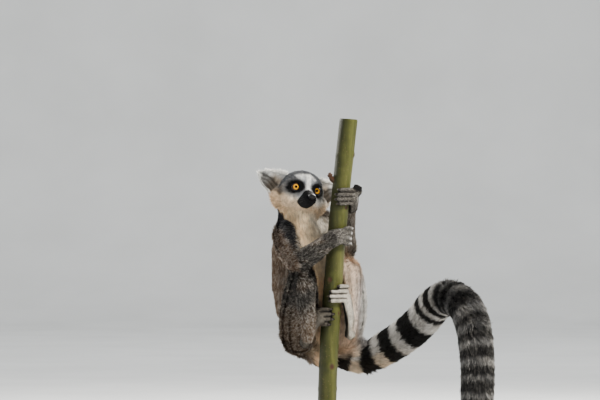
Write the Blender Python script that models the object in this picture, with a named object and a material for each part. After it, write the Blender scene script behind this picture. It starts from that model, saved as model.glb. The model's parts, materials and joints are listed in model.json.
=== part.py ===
"""Ring-tailed lemur clinging to a cut length of thin trunk: a life-size museum model on a stand.

Metres, +Z up. The origin is on the stand's underside, close below the foot of the perch. +X runs from
the animal's back towards its tail's arch, and -Y is the side that its face looks to. Every body part is a
closed solid out to the tips of the coat. Each later part is cut clear of the earlier ones, GAP apart.
"""

import math

import bmesh
import bpy
from mathutils import Matrix, Vector

MM = 0.001
GAP = 0.3 * MM

# ---------------------------------------------------------------- driving dimensions, in millimetres
PERCH_FOOT = (4.0, 0.0, 88.0)
PERCH_TOP = (41.5, 0.0, 576.0)
PERCH_BEND = 1.65
PERCH_RADII = (15.4, 13.6)
PERCH_CUT_CHAMFER = 1.2

BASE_SIZE = (350.0, 270.0, 18.0)
BASE_CENTRE = (50.0, 8.0)
BASE_CORNER = 26.0
BASE_EDGE = 4.0
ROD_RADIUS = 6.0
ROD_INTO_PERCH = 14.0
COLLAR_RADIUS, COLLAR_HEIGHT = 17.0, 9.0

EYES_MIDDLE = (-29.0, 8.0, 465.0)
HEAD_YAW, HEAD_PITCH, HEAD_ROLL = 19.0, 8.0, -11.0
EYE_SPREAD, EYE_BACK, EYE_RADIUS = 17.8, 3.0, 7.4
EAR_LENGTH, EAR_WIDTH, EAR_THICKNESS = 47.0, 43.0, 5.0
NOSE_FORWARD, NOSE_DROP = 36.0, -17.0

# Each station is a point on the part's centre line, its half width and its half depth.
HEAD = (  # across, forward and up from the middle of the eyes, in the head's own frame
    (0, -52, 0, 22, 23), (0, -42, 0, 31, 31), (0, -30, -1.5, 35.5, 35), (0, -18, -4, 36, 34.5),
    (0, -9, -8, 31, 29.5), (0, -3, -11.5, 23, 23), (0, 3, -15, 15.5, 17.5), (0, 12, -17.5, 13, 14.8),
    (0, 22, -19.5, 12, 12.6), (0, 29, -20.5, 10.2, 10),
)
NECK = ((-40, 60, 402, 39, 39), (-42, 55, 422, 34, 35), (-42, 46, 441, 33, 33), (-41, 38, 458, 29, 29))
TRUNK = (
    (-42, 62, 414, 28, 28), (-40, 63, 400, 39, 41), (-38, 64, 378, 46, 49), (-37, 66, 350, 48, 52),
    (-36, 66, 318, 49, 54), (-31, 62, 285, 50, 54), (-20, 55, 255, 50, 50), (-12, 49, 228, 46, 43),
    (-8, 46, 210, 33, 30),
)
TRUNK_FACES = (45.0, 62.0)  # how far the breast and the hips turn from +X towards -Y, in degrees
UPPER_ARMS = {
    "right": ((-61, 36, 393, 25, 25), (-58, 4, 371, 23, 23), (-44, -29, 350, 20, 20)),
    "left": ((-8, 76, 412, 24, 24), (17, 66, 393, 18.5, 18.5), (36, 48, 371, 17, 17)),
}
FOREARMS = {
    "right": ((-41, -31, 349, 19, 19), (-16, -31, 365, 17, 17), (8, -29, 384, 13, 13)),
    "left": ((36, 46, 371, 16.5, 16.5), (38, 30, 403, 13, 13), (42, 14, 432, 10, 10)),
}
THIGHS = {
    "right": (
        (-36, 36, 230, 37, 37), (-40, 18, 262, 34, 34), (-37, -8, 298, 29, 29), (-35, -23, 324, 24, 24),
    ),
    "left": (
        (24, 66, 232, 38, 38), (33, 58, 262, 37, 37), (39, 46, 300, 30, 30), (39, 36, 333, 22, 22),
    ),
}
SHANKS = {
    "right": (
        (-34, -27, 323, 21, 21), (-31, -29, 290, 17, 17), (-27, -24, 254, 12.5, 12.5),
        (-27, -19, 232, 11, 11),
    ),
    "left": ((40, 31, 334, 20, 20), (45, 25, 300, 15.5, 15.5), (44, 17, 266, 12, 12), (42, 12, 246, 11, 11)),
}
TAIL = (
    (-24, 72, 214, 21, 21), (25, 87, 200, 27, 27), (66, 80, 193, 29, 29), (114, 59, 217, 31, 31),
    (151, 37, 247, 31.5, 31.5), (177, 9, 279, 31.5, 31.5), (199, -27, 292, 31.5, 31.5),
    (220, -69, 281, 31, 31), (233, -92, 249, 31, 31), (239, -101, 200, 30, 30), (239, -104, 140, 29, 29),
    (236, -104, 95, 26, 26), (233, -102, 74, 20, 20),
)
TAIL_LENGTHS = 6

# Digits that close round the perch: the knuckle's height, the rise to the tip, and both ends' bearings.
DIGIT_RADII = (4.2, 3.2)
HANDS = {
    "right": dict(
        palm=((2, -29, 380, 13, 12), (16, -28, 388, 14, 9.5), (27, -23, 391, 13, 8)),
        digits=((402, 1, -58, 78), (394, 0.5, -58, 88), (386, 0, -58, 84), (378.5, -1, -58, 70)),
        thumb=((10, -27, 377, 6), (-1, -18, 370, 5), (-2, -4, 366, 4.2), (4, 10, 365, 3.4)),
    ),
    "left": dict(
        palm=((43, 9, 434, 9.5, 9), (47, -3, 444, 10.5, 8), (46, -12, 453, 10.5, 7.5)),
        digits=((464, 0.5, -28, -106), (457, 0, -28, -118), (450, -1, -28, -116), (443.5, -1.5, -28, -104)),
        thumb=((49, -6, 456, 5.4), (56, -9, 461, 5), (57, -11, 467, 4.4), (50, -13, 471, 3.8)),
    ),
}
FEET = {
    "right": dict(
        palm=((-31, -10, 219, 9, 9), (-26, -16, 238, 11, 9), (-15, -21, 256, 13, 8), (-7, -21, 262, 13, 7)),
        digits=((273, 1, 207, 272), (265.5, 0.5, 207, 282), (258, 0, 207, 280), (250.5, -1, 207, 268)),
        thumb=((-21, -14, 254, 6.5), (-14, 0, 260, 6), (-5, 13, 265, 5.2), (9, 21, 268, 4.4)),
    ),
    "left": dict(
        palm=((41, 14, 232, 9, 9), (41, 8, 252, 10.5, 8.5), (38, 0, 276, 12, 8), (35, -4, 293, 12, 7.5)),
        digits=((310, 0.5, -14, -68), (302.5, 0, -14, -104), (295, -0.5, -14, -112), (288, -1, -14, -104)),
        thumb=((38, 2, 272, 6.5), (37, 14, 282, 6), (26, 22, 288, 5.2), (12, 24, 291, 4.4)),
    ),
}

FUR_GREY, FUR_BROWN, FUR_CREAM = (0.24, 0.22, 0.20), (0.30, 0.23, 0.17), (0.75, 0.68, 0.56)
FUR_WHITE, FUR_BLACK, BARK_GREEN = (0.82, 0.80, 0.76), (0.03, 0.03, 0.03), (0.27, 0.28, 0.12)
EYE_AMBER, STEEL, STAINED_OAK = (0.85, 0.42, 0.03), (0.55, 0.56, 0.58), (0.11, 0.06, 0.035)


# ---------------------------------------------------------------- scene and materials
def clear_scene():
    for obj in list(bpy.data.objects):
        bpy.data.objects.remove(obj, do_unlink=True)


def finish(name, colour, roughness, metallic=0.0):
    """A Principled material."""
    material = bpy.data.materials.new(name)
    material.use_nodes = True
    shader = material.node_tree.nodes["Principled BSDF"]
    shader.inputs["Base Color"].default_value = (*colour, 1.0)
    shader.inputs["Roughness"].default_value = roughness
    shader.inputs["Metallic"].default_value = metallic
    return material


def object_of(name, mesh):
    obj = bpy.data.objects.new(name, mesh)
    bpy.context.scene.collection.objects.link(obj)
    return obj


def mesh_of(name, points, faces):
    """A closed mesh from points in millimetres, its faces turned outwards."""
    build = bmesh.new()
    verts = [build.verts.new(Vector(p) * MM) for p in points]
    for face in faces:
        build.faces.new([verts[i] for i in face])
    bmesh.ops.recalc_face_normals(build, faces=build.faces)
    bmesh.ops.triangulate(build, faces=build.faces)
    mesh = bpy.data.meshes.new(name)
    build.to_mesh(mesh)
    build.free()
    return mesh


# ---------------------------------------------------------------- lofts
def curve_point(a, b, c, d, t):
    """One coordinate of a Catmull-Rom curve, the share t of the way from b to c."""
    square = (2 * a - 5 * b + 4 * c - d) * t * t
    cube = (3 * b - a - 3 * c + d) * t**3
    return 0.5 * (2 * b + (c - a) * t + square + cube)


def smooth_stations(stations, steps):
    """The stations with points between them on a Catmull-Rom curve, each number carried along."""
    rows = [tuple(map(float, s)) for s in stations]
    ends = [rows[0], *rows, rows[-1]]
    out = []
    for i in range(len(rows) - 1):
        before, start, end, after = ends[i : i + 4]
        for k in range(steps):
            t = k / steps
            out.append(tuple(curve_point(*four, t) for four in zip(before, start, end, after)))
    return out + [rows[-1]]


def tangents(centres):
    last = len(centres) - 1
    return [(centres[min(i + 1, last)] - centres[max(i - 1, 0)]).normalized() for i in range(last + 1)]


def section_frames(centres, facing):
    """For each centre, the directions of its half width and half depth, and the way along.

    facing, if given, has the depth directions. Otherwise they turn as little as they can.
    """
    along = tangents(centres)
    depth = facing[0] if facing else along[0].orthogonal()
    frames = []
    for i, t in enumerate(along):
        depth = facing[i] if facing else depth
        depth = (depth - depth.dot(t) * t).normalized()
        frames.append((depth.cross(t), depth, t))
    return frames


def loft(name, stations, sides, steps=3, facing=None, flat_ends=(False, False)):
    """A closed tube through the stations. A round end bulges past it by the smaller half size there."""
    rows = smooth_stations(stations, steps) if steps else [tuple(map(float, s)) for s in stations]
    centres = [Vector(r[:3]) for r in rows]
    frames = section_frames(centres, facing(len(rows)) if facing else None)
    rings = []

    def ring(centre, frame, width, depth):
        wide, deep, _ = frame
        turns = [2 * math.pi * k / sides for k in range(sides)]
        rings.append([centre + wide * width * math.cos(a) + deep * depth * math.sin(a) for a in turns])

    def cap(centre, frame, width, depth, way, order):
        reach = min(width, depth) * way
        for angle in order:
            shrink = math.cos(math.radians(angle))
            bulge = frame[2] * reach * math.sin(math.radians(angle))
            ring(centre + bulge, frame, width * shrink, depth * shrink)
        return centre + frame[2] * reach

    if flat_ends[0]:
        start_pole = centres[0]
    else:
        start_pole = cap(centres[0], frames[0], *rows[0][3:], -1, (60, 30))
    for centre, frame, row in zip(centres, frames, rows):
        ring(centre, frame, *row[3:])
    if flat_ends[1]:
        end_pole = centres[-1]
    else:
        end_pole = cap(centres[-1], frames[-1], *rows[-1][3:], 1, (30, 60))
    points = [p for r in rings for p in r] + [start_pole, end_pole]
    faces = []
    for r in range(len(rings) - 1):
        for k in range(sides):
            a, b = r * sides + k, r * sides + (k + 1) % sides
            faces.append((a, b, b + sides, a + sides))
    top = (len(rings) - 1) * sides
    for k in range(sides):
        faces.append((k, (k + 1) % sides, len(points) - 2))
        faces.append((top + k, top + (k + 1) % sides, len(points) - 1))
    return object_of(name, mesh_of(name, points, faces))


def ball(name, centre, radii, turn, rings=8, sides=14):
    """A stretched sphere from millimetres, turned by a rotation matrix."""
    build = bmesh.new()
    bmesh.ops.create_uvsphere(build, u_segments=sides, v_segments=rings, radius=1.0)
    scale = Matrix.Diagonal((*[r * MM for r in radii], 1.0))
    place = Matrix.Translation(Vector(centre) * MM) @ turn.to_4x4() @ scale
    bmesh.ops.transform(build, matrix=place, verts=build.verts)
    mesh = bpy.data.meshes.new(name)
    build.to_mesh(mesh)
    build.free()
    return object_of(name, mesh)


# ---------------------------------------------------------------- joining and cutting
def settle(obj):
    """Replaces the object's modifiers by their result."""
    bpy.context.view_layer.update()
    graph = bpy.context.evaluated_depsgraph_get()
    made = bpy.data.meshes.new_from_object(obj.evaluated_get(graph))
    obj.modifiers.clear()
    obj.data = made


def boolean(obj, other, operation):
    step = obj.modifiers.new(operation.lower(), "BOOLEAN")
    step.operation, step.object, step.solver = operation, other, "EXACT"
    settle(obj)


def remove(*objects):
    for obj in objects:
        bpy.data.objects.remove(obj, do_unlink=True)


def blended(name, pieces, voxel, rounds, triangles):
    """One smooth body from overlapping pieces, thinned to about the given number of triangles."""
    build = bmesh.new()
    for piece in pieces:
        build.from_mesh(piece.data)
    mesh = bpy.data.meshes.new(name)
    build.to_mesh(mesh)
    build.free()
    remove(*pieces)
    whole = object_of(name, mesh)
    fuse = whole.modifiers.new("fuse", "REMESH")
    fuse.mode = "VOXEL"
    fuse.voxel_size = voxel * MM
    soften = whole.modifiers.new("soften", "SMOOTH")
    soften.factor = 0.5
    soften.iterations = rounds
    settle(whole)
    thin = whole.modifiers.new("thin", "DECIMATE")
    thin.ratio = triangles / (2 * len(whole.data.polygons))
    settle(whole)
    return whole


def keep_largest(obj):
    """Drops the slivers that a cut leaves apart from the main body."""
    build = bmesh.new()
    build.from_mesh(obj.data)
    left, islands = set(build.verts), []
    while left:
        stack, island = [left.pop()], []
        while stack:
            vert = stack.pop()
            island.append(vert)
            near = {edge.other_vert(vert) for edge in vert.link_edges} & left
            left -= near
            stack.extend(near)
        islands.append(island)
    islands.sort(key=len, reverse=True)
    for island in islands[1:]:
        bmesh.ops.delete(build, geom=island, context="VERTS")
    bmesh.ops.triangulate(build, faces=build.faces)
    build.to_mesh(obj.data)
    build.free()


def boxes_meet(a, b):
    def corners(obj):
        points = [v.co for v in obj.data.vertices]
        return [(min(p[i] for p in points), max(p[i] for p in points)) for i in range(3)]

    return all(lo1 < hi2 and lo2 < hi1 for (lo1, hi1), (lo2, hi2) in zip(corners(a), corners(b)))


class Body:
    """The parts made so far. A copy of each, larger all round by GAP, cuts the later ones clear."""

    def __init__(self):
        self.cutters = []

    def add_cutter(self, part):
        build = bmesh.new()
        build.from_mesh(part.data)
        bmesh.ops.triangulate(build, faces=build.faces)
        build.normal_update()
        for vert, normal in [(v, v.normal.copy()) for v in build.verts]:
            vert.co += normal * GAP * 1.1
        mesh = bpy.data.meshes.new("clearance_" + part.name)
        build.to_mesh(mesh)
        build.free()
        cutter = object_of("clearance_" + part.name, mesh)
        cutter.hide_render = True
        cutter.display_type = "WIRE"
        self.cutters.append(cutter)

    def add(self, name, part, material, sharp=35.0):
        """Names the part, cuts it clear of the earlier ones and gives it its material."""
        part.name = name
        earlier = list(self.cutters)
        self.add_cutter(part)
        for cutter in earlier:
            if boxes_meet(part, cutter):
                boolean(part, cutter, "DIFFERENCE")
        keep_largest(part)
        part.data.materials.clear()
        part.data.materials.append(material)
        part.data.shade_smooth()
        part.data.set_sharp_from_angle(angle=math.radians(sharp))
        return part


# ---------------------------------------------------------------- perch and stand
def perch_at(height):
    """The perch's centre and radius at a height."""
    share = (height - PERCH_FOOT[2]) / (PERCH_TOP[2] - PERCH_FOOT[2])
    centre = Vector(PERCH_FOOT).lerp(Vector(PERCH_TOP), share)
    centre.x = PERCH_FOOT[0] + (PERCH_TOP[0] - PERCH_FOOT[0]) * max(share, 0.0) ** PERCH_BEND
    return centre, PERCH_RADII[0] + share * (PERCH_RADII[1] - PERCH_RADII[0])


def perch():
    """The cut length of trunk, slightly uneven, with the stub of a broken twig."""
    low, high = PERCH_FOOT[2], PERCH_TOP[2]
    heights = [low + k / 9 * (high - low) for k in range(10)]
    heights[:1] = [low, low + PERCH_CUT_CHAMFER]
    heights[-1:] = [high - PERCH_CUT_CHAMFER, high]
    stations = []
    for height in heights:
        centre, radius = perch_at(height)
        radius += 0.35 * math.sin(height / 45.0)
        radius -= PERCH_CUT_CHAMFER if height in (low, high) else 0
        stations.append((*centre, radius, radius))
    stem = loft("stem", stations, 14, 0, flat_ends=(True, True))
    root, radius = perch_at(475)
    bend = root + Vector((-radius - 1, -3, 7))
    end = root + Vector((-radius - 5, -5, 15))
    twig = loft("twig", ((*root, 5.5, 5.5), (*bend, 4.4, 4.4), (*end, 3.2, 3.2)), 8, 0)
    boolean(stem, twig, "UNION")
    remove(twig)
    return stem


def base_plate():
    """A flat board with round corners and eased edges."""
    length, depth, height = BASE_SIZE
    build = bmesh.new()
    bmesh.ops.create_cube(build, size=1.0)
    middle = Vector((*BASE_CENTRE, height / 2)) * MM
    size = Vector((length, depth, height)) * MM
    place = Matrix.Translation(middle) @ Matrix.Diagonal((*size, 1.0))
    bmesh.ops.transform(build, matrix=place, verts=build.verts)
    upright = [e for e in build.edges if abs(e.verts[0].co.z - e.verts[1].co.z) > 1e-4]
    bmesh.ops.bevel(build, geom=upright, offset=BASE_CORNER * MM, segments=5, profile=0.5, affect="EDGES")
    rim = [e for e in build.edges if min(v.co.z for v in e.verts) > middle.z]
    bmesh.ops.bevel(build, geom=rim, offset=BASE_EDGE * MM, segments=2, profile=0.6, affect="EDGES")
    mesh = bpy.data.meshes.new("stand_base")
    build.to_mesh(mesh)
    build.free()
    return object_of("stand_base", mesh)


def rod():
    """The steel rod from the base up into the perch's foot."""
    x, y, foot = PERCH_FOOT
    rows = [(x, y, z, ROD_RADIUS, ROD_RADIUS) for z in (BASE_SIZE[2] + 0.4, foot - 8, foot + ROD_INTO_PERCH)]
    return loft("stand_rod", rows, 12, 0, flat_ends=(True, True))


def collar():
    """The turned flange that clasps the rod and screws down to the base."""
    low = BASE_SIZE[2] + 0.4
    rows = []
    for share, size in ((0, 1.0), (0.35, 1.0), (0.55, 0.72), (1.0, 0.62)):
        height = low + share * COLLAR_HEIGHT
        rows.append((*PERCH_FOOT[:2], height, size * COLLAR_RADIUS, size * COLLAR_RADIUS))
    return loft("stand_collar", rows, 16, 0, flat_ends=(True, True))


# ---------------------------------------------------------------- head
def head_axes():
    """The head's rotation: its own X is the animal's right, Y forward and Z up."""
    yaw = Matrix.Rotation(math.radians(180 + HEAD_YAW), 3, "Z")
    pitch = Matrix.Rotation(math.radians(HEAD_PITCH), 3, "X")
    roll = Matrix.Rotation(math.radians(HEAD_ROLL), 3, "Y")
    return yaw @ pitch @ roll


def on_head(across, forward, up):
    """A place on the head, in its own frame, as a world point."""
    return Vector(EYES_MIDDLE) + head_axes() @ Vector((across, forward, up))


def head():
    """Skull and muzzle as one loft, with brows, cheeks and a jaw blended on."""
    axes = head_axes()
    rows = [(*on_head(*s[:3]), *s[3:]) for s in HEAD]
    up = axes @ Vector((0, 0, 1))
    lumps = [loft("skull", rows, 22, 2, facing=lambda n: [up] * n)]
    for side in (-1, 1):
        lumps.append(ball("brow", on_head(side * 16, -12, 2), (14, 13, 13.5), axes))
        lumps.append(ball("cheek", on_head(side * 20, -20, -15), (16, 19, 15), axes))
        lumps.append(ball("ruff", on_head(side * 31, -31, -16), (17, 12, 18), axes))
    lumps.append(ball("jaw", on_head(0, 9, -24.5), (10.5, 17, 8.5), axes))
    return blended("head", lumps, 2.0, 8, 520)


def eye(side):
    centre = on_head(side * EYE_SPREAD, -EYE_BACK, 0)
    return ball("eye", centre, (EYE_RADIUS,) * 3, head_axes(), rings=7, sides=10)


def nose():
    """The bare wet tip of the snout."""
    centre = on_head(0, NOSE_FORWARD, NOSE_DROP)
    return ball("nose", centre, (6.0, 4.6, 4.6), head_axes(), rings=6, sides=10)


def ear(side):
    """A cupped leaf of skin and fur, hollow to the front, rooted inside the head."""
    along = Vector((side * 0.87, -0.21, 0.45)).normalized()
    hollow = Vector((side * 0.45, 0.86, 0.20))
    hollow = (hollow - hollow.dot(along) * along).normalized()
    across = along.cross(hollow)
    root = Vector((side * 31, -36, 1))
    rows, columns, leaf = 6, 6, []
    for i in range(rows):
        far = i / (rows - 1)
        half = EAR_WIDTH / 2 * (1 - far**1.7) ** 0.75 + 3.0 * far
        for j in range(columns):
            wide = 2 * j / (columns - 1) - 1
            cup = 7.5 * wide * wide * (1 - 0.55 * far) - 3.0 * far * far
            leaf.append(root + along * far * EAR_LENGTH + across * wide * half + hollow * cup)
    thick = EAR_THICKNESS / 2
    points = [on_head(*(p + hollow * thick)) for p in leaf]
    points += [on_head(*(p - hollow * thick)) for p in leaf]
    faces, back = [], rows * columns
    for i in range(rows - 1):
        for j in range(columns - 1):
            a = i * columns + j
            quad = (a, a + 1, a + columns + 1, a + columns)
            faces += [quad, tuple(back + k for k in reversed(quad))]
    rim = list(range(columns))
    rim += [i * columns + columns - 1 for i in range(1, rows)]
    rim += [(rows - 1) * columns + j for j in range(columns - 2, -1, -1)]
    rim += [i * columns for i in range(rows - 2, 0, -1)]
    for k, a in enumerate(rim):
        b = rim[(k + 1) % len(rim)]
        faces.append((a, back + a, back + b, b))
    return object_of("ear", mesh_of("ear", points, faces))


# ---------------------------------------------------------------- trunk, limbs and tail
def trunk_facing(count):
    """The way the breast faces at the top and the belly at the hips, turning evenly between."""
    out = []
    for k in range(count):
        turn = math.radians(TRUNK_FACES[0] + (TRUNK_FACES[1] - TRUNK_FACES[0]) * k / (count - 1))
        out.append(Vector((math.cos(turn), -math.sin(turn), 0)))
    return out


def digit(points, sides=8):
    """A tapering digit through its points, from the knuckle to the tip."""
    rows = []
    for k, p in enumerate(points):
        share = k / (len(points) - 1)
        radius = DIGIT_RADII[0] + share * (DIGIT_RADII[1] - DIGIT_RADII[0]) if len(p) == 3 else p[3]
        rows.append((*p[:3], radius, radius))
    return loft("digit", rows, sides, 0)


def gripping_digit(height, rise, bearing, tip_bearing):
    """A digit that closes round the perch from its knuckle's bearing to its tip's."""
    points = []
    for k in range(7):
        share = k / 6
        level = height + rise * share
        centre, radius = perch_at(level)
        turn = math.radians(bearing + (tip_bearing - bearing) * share)
        digit_radius = DIGIT_RADII[0] + share * (DIGIT_RADII[1] - DIGIT_RADII[0])
        off = radius + 0.35 + 1.0 + digit_radius + 2.6 * (1 - share) ** 2
        points.append(tuple(centre + Vector((math.cos(turn), math.sin(turn), 0)) * off))
    return digit(points)


def grip(plan):
    """A hand or foot: the palm or sole, its digits round the perch, and the thumb or great toe."""

    def facing(count):
        rows = smooth_stations(plan["palm"], 2)
        return [(perch_at(r[2])[0] - Vector(r[:3])).normalized() for r in rows][:count]

    pieces = [loft("palm", plan["palm"], 10, 2, facing=facing)]
    pieces += [gripping_digit(*d) for d in plan["digits"]]
    pieces.append(digit(plan["thumb"]))
    return blended("grip", pieces, 1.4, 3, 215)


def tail_length(index):
    """One length of the tail. A thin gap parts neighbours, and the last length has a round tip."""
    rows = smooth_stations(TAIL, 3)
    per = (len(rows) - 1) / TAIL_LENGTHS
    low, high = round(index * per), round((index + 1) * per)
    part = rows[low : high + 1]
    centres = [Vector(r[:3]) for r in part]
    ends = tangents([Vector(r[:3]) for r in rows])
    half = 0.75 * GAP / MM
    if index:
        part[0] = (*(centres[0] + ends[low] * half), *part[0][3:])
    if index < TAIL_LENGTHS - 1:
        part[-1] = (*(centres[-1] - ends[high] * half), *part[-1][3:])

    def facing(count):
        frames = section_frames([Vector(r[:3]) for r in rows], None)
        return [f[1] for f in frames[low : low + count]]

    round_tip = index == TAIL_LENGTHS - 1
    return loft("tail", part, 12, 0, facing=facing, flat_ends=(index > 0, not round_tip))


def build_stand(body):
    steel = finish("steel", STEEL, 0.35, 1.0)
    body.add("stand_rod", rod(), steel)
    body.add("stand_base", base_plate(), finish("stained_oak", STAINED_OAK, 0.4))
    body.add("stand_collar", collar(), steel)
    body.add("perch", perch(), finish("bark", BARK_GREEN, 0.75))


def build_animal(body):
    white = finish("fur_white", FUR_WHITE, 0.9)
    grey = finish("fur_grey", FUR_GREY, 0.9)
    black = finish("fur_black", FUR_BLACK, 0.9)
    cream = finish("fur_cream", FUR_CREAM, 0.9)
    amber = finish("eye", EYE_AMBER, 0.08)
    sides = (("left", -1), ("right", 1))
    for name, side in sides:
        body.add(f"eye_{name}", eye(side), amber)
    body.add("nose", nose(), finish("bare_black_skin", FUR_BLACK, 0.5))
    body.add("head", head(), white)
    body.add("trunk", loft("trunk", TRUNK, 16, 1, facing=trunk_facing), finish("fur_brown", FUR_BROWN, 0.9))
    body.add("neck", loft("neck", NECK, 12, 1), grey)
    for name, side in sides:
        body.add(f"ear_{name}", ear(side), white)
        body.add(f"upper_arm_{name}", loft("arm", UPPER_ARMS[name], 10, 2), grey)
        body.add(f"thigh_{name}", loft("thigh", THIGHS[name], 12, 2), grey)
        body.add(f"forearm_{name}", loft("forearm", FOREARMS[name], 10, 2), grey)
        body.add(f"shank_{name}", loft("shank", SHANKS[name], 10, 2), grey)
        body.add(f"hand_{name}", grip(HANDS[name]), grey)
        body.add(f"foot_{name}", grip(FEET[name]), cream)
    for index in range(TAIL_LENGTHS):
        body.add(f"tail_{index + 1}", tail_length(index), black if index % 2 else white)


def main():
    clear_scene()
    body = Body()
    build_stand(body)
    build_animal(body)
    remove(*body.cutters)


main()
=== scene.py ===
"""Looks of the ring-tailed lemur on its cut length of trunk: skin, coat, face, nails, perch and stand."""

import itertools
import math

import bmesh
import bpy
import numpy as np
from mathutils import Matrix, Vector
from mathutils.kdtree import KDTree
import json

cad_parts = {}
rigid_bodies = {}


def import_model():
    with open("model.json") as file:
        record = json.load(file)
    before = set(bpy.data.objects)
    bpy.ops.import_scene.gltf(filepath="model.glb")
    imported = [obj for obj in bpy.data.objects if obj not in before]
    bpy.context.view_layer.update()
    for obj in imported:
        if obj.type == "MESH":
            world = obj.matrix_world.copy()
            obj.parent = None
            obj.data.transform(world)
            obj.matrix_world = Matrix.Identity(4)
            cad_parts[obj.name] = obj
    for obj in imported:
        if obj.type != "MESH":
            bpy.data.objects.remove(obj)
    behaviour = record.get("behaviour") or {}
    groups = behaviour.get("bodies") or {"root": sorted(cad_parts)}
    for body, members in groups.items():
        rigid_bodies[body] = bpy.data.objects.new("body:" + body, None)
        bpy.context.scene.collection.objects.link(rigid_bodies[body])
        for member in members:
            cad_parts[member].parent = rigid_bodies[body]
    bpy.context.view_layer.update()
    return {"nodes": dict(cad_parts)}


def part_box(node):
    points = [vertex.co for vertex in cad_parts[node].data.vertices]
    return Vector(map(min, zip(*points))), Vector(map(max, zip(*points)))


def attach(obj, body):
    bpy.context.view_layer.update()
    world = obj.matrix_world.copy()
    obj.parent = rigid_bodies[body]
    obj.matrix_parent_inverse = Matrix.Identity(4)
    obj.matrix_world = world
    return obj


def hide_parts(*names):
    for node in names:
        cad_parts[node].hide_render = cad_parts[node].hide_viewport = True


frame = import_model()

MM = 0.001
SEED = 11

# ---------------------------------------------------------------- sizes, in metres unless named otherwise
SKIN_VOXEL = 0.0014
SKIN_TRIANGLES = 180000
# How far the flesh nodes swell before they fuse, and how deep the clefts between digits are cut.
SKIN_SWELL, CLEFT_DEPTH = 0.0004, 0.0017
# How thick the lids' rims are, and how far they stand off the eye.
LID_WIDTH, LID_CLEAR = 0.0011, 0.0002
# Half the angle that the lids leave open.
EYE_OPENING = math.radians(41)
# How far the cornea stands out, and how wide it is, as shares of the eye's radius.
CORNEA_RISE, CORNEA_HALF = 0.075, 0.78
# How far the gaze turns to the animal's right, and each lid's opening outward from it.
GAZE_TURN, OPENING_TURN = math.radians(8), math.radians(5)
# How far the nose lies below straight ahead, seen from between the eyes.
NOSE_TILT = math.atan2(17, 39)
# How far the head's own middle lies in front of the eyes' middles.
EYES_BEHIND_FACE = 0.003
# How wide a tuft's patch is on the unwrapped skin, as a share of the map.
TUFT_PATCH = 0.003
HAIRS_PER_TUFT = 4
TUFT_SHAPES = 8
# The power of height by which the perch's lean grows.
PERCH_BEND = 1.65
# How far in and how far along the perch's sawn ends are rounded.
BEVEL, BEVEL_RUN = 0.0010, 0.0012
# How deep the end slices are that give the perch's axis, and the least and greatest radius of its wall.
END_SLICE, WALL_RADII = 0.004, (0.0125, 0.0165)
# An ear in the head's own frame: its root, the way to its tip and the way that its hollow faces.
EAR_ROOT, EAR_ALONG, EAR_HOLLOW = (31, -36, 1), (0.87, -0.21, 0.45), (0.45, 0.86, 0.20)
# An ear's length and half its width, in millimetres.
EAR_LENGTH, EAR_HALF = 47.0, 21.5
# Half the nose pad's width, depth and height, in millimetres.
NOSE_HALF = (6.2, 4.6, 4.6)
# Points along and across a nail, its length, half its width and its thickness.
NAIL_STEPS = 7
NAIL_LENGTH, NAIL_HALF, NAIL_THICK = 0.0046, 0.0016, 0.0005
# How high a tuft's tips stand over its root, as a share of its scale.
TUFT_RISE = 0.88
# The floor's end, the radius of its bend, the wall's top and half the width, in metres.
FLOOR_END, BEND, WALL_TOP, ROOM_HALF = 6.5, 1.5, 6.0, 8.0
# The middle of the animal, which the lights face, and the camera's place.
SUBJECT = (0.05, 0.0, 0.32)
CAMERA_PLACE = (-0.039, -5.333, 0.448)
# The camera's focal length and sensor width, in millimetres.
LENS, SENSOR = 200, 36
SKY_COLOUR, SKY_STRENGTH = (0.92, 0.95, 1.0, 1), 0.42

# The tail's centre line from root to tip, in millimetres.
TAIL_ROUTE = (
    (-24, 72, 214), (25, 87, 200), (66, 80, 193), (114, 59, 217), (151, 37, 247), (177, 9, 279),
    (199, -27, 292), (220, -69, 281), (233, -92, 249), (239, -101, 200), (239, -104, 140), (236, -104, 95),
    (233, -102, 74),
)
# The tail's dark rings, by the millimetres along it where each starts and ends.
TAIL_RINGS = (
    (48, 74), (92, 116), (134, 159), (178, 212), (234, 247), (259, 277), (293, 304), (315, 326), (345, 363),
    (381, 389), (403, 412), (425, 439), (454, 466), (476, 493), (505, 600),
)
# Rings that start beyond this are wider and softer, as they are seen through longer hair.
FAR_RINGS = 285

# Each limb's nodes from the body outwards, which gives the lie of the coat.
LIMBS = (("upper_arm", "forearm", "hand"), ("thigh", "shank", "foot"))
SIDES = ("left", "right")
EARS = ("ear_left", "ear_right")
# The way that the coat lies on the neck and the trunk.
BODY_WAYS = {"neck": (0.12, 0.0, -1.0), "trunk": (0.12, -0.05, -1.0)}
# The way that each grip's digits close round the perch, seen from above: 1 is anticlockwise.
GRIP_WAY = {"hand_right": 1, "hand_left": -1, "foot_right": 1, "foot_left": -1}
# Each digit's tip on the perch: height in millimetres and bearing in degrees.
DIGIT_TIPS = {
    "hand_right": ((403, 78), (394.5, 88), (386, 84), (377.5, 70)),
    "hand_left": ((464.5, -106), (457, -118), (449, -116), (442, -104)),
    "foot_right": ((274, 272), (266, 282), (258, 280), (249.5, 268)),
    "foot_left": ((310.5, -68), (302.5, -104), (294.5, -112), (287, -104)),
}
# How many degrees of the perch the digits of each grip go round.
DIGIT_RUN = {"hand_right": 120, "hand_left": 78, "foot_right": 58, "foot_left": 82}
# The tips of the thumbs and great toes, in millimetres.
THUMB_TIPS = ((50, -13, 471), (56, -12, 468), (4, 10, 365), (9, 21, 268), (12, 24, 291))
# Half a digit's thickness, and how far its middle stands off the perch.
DIGIT_RADIUS, DIGIT_CLEAR = 0.0032, 0.00455
# How far from a digit's tip its bare pad starts to fade, and where it ends.
PAD_RADIUS, PAD_EDGE = 0.0060, 0.0082
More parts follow.
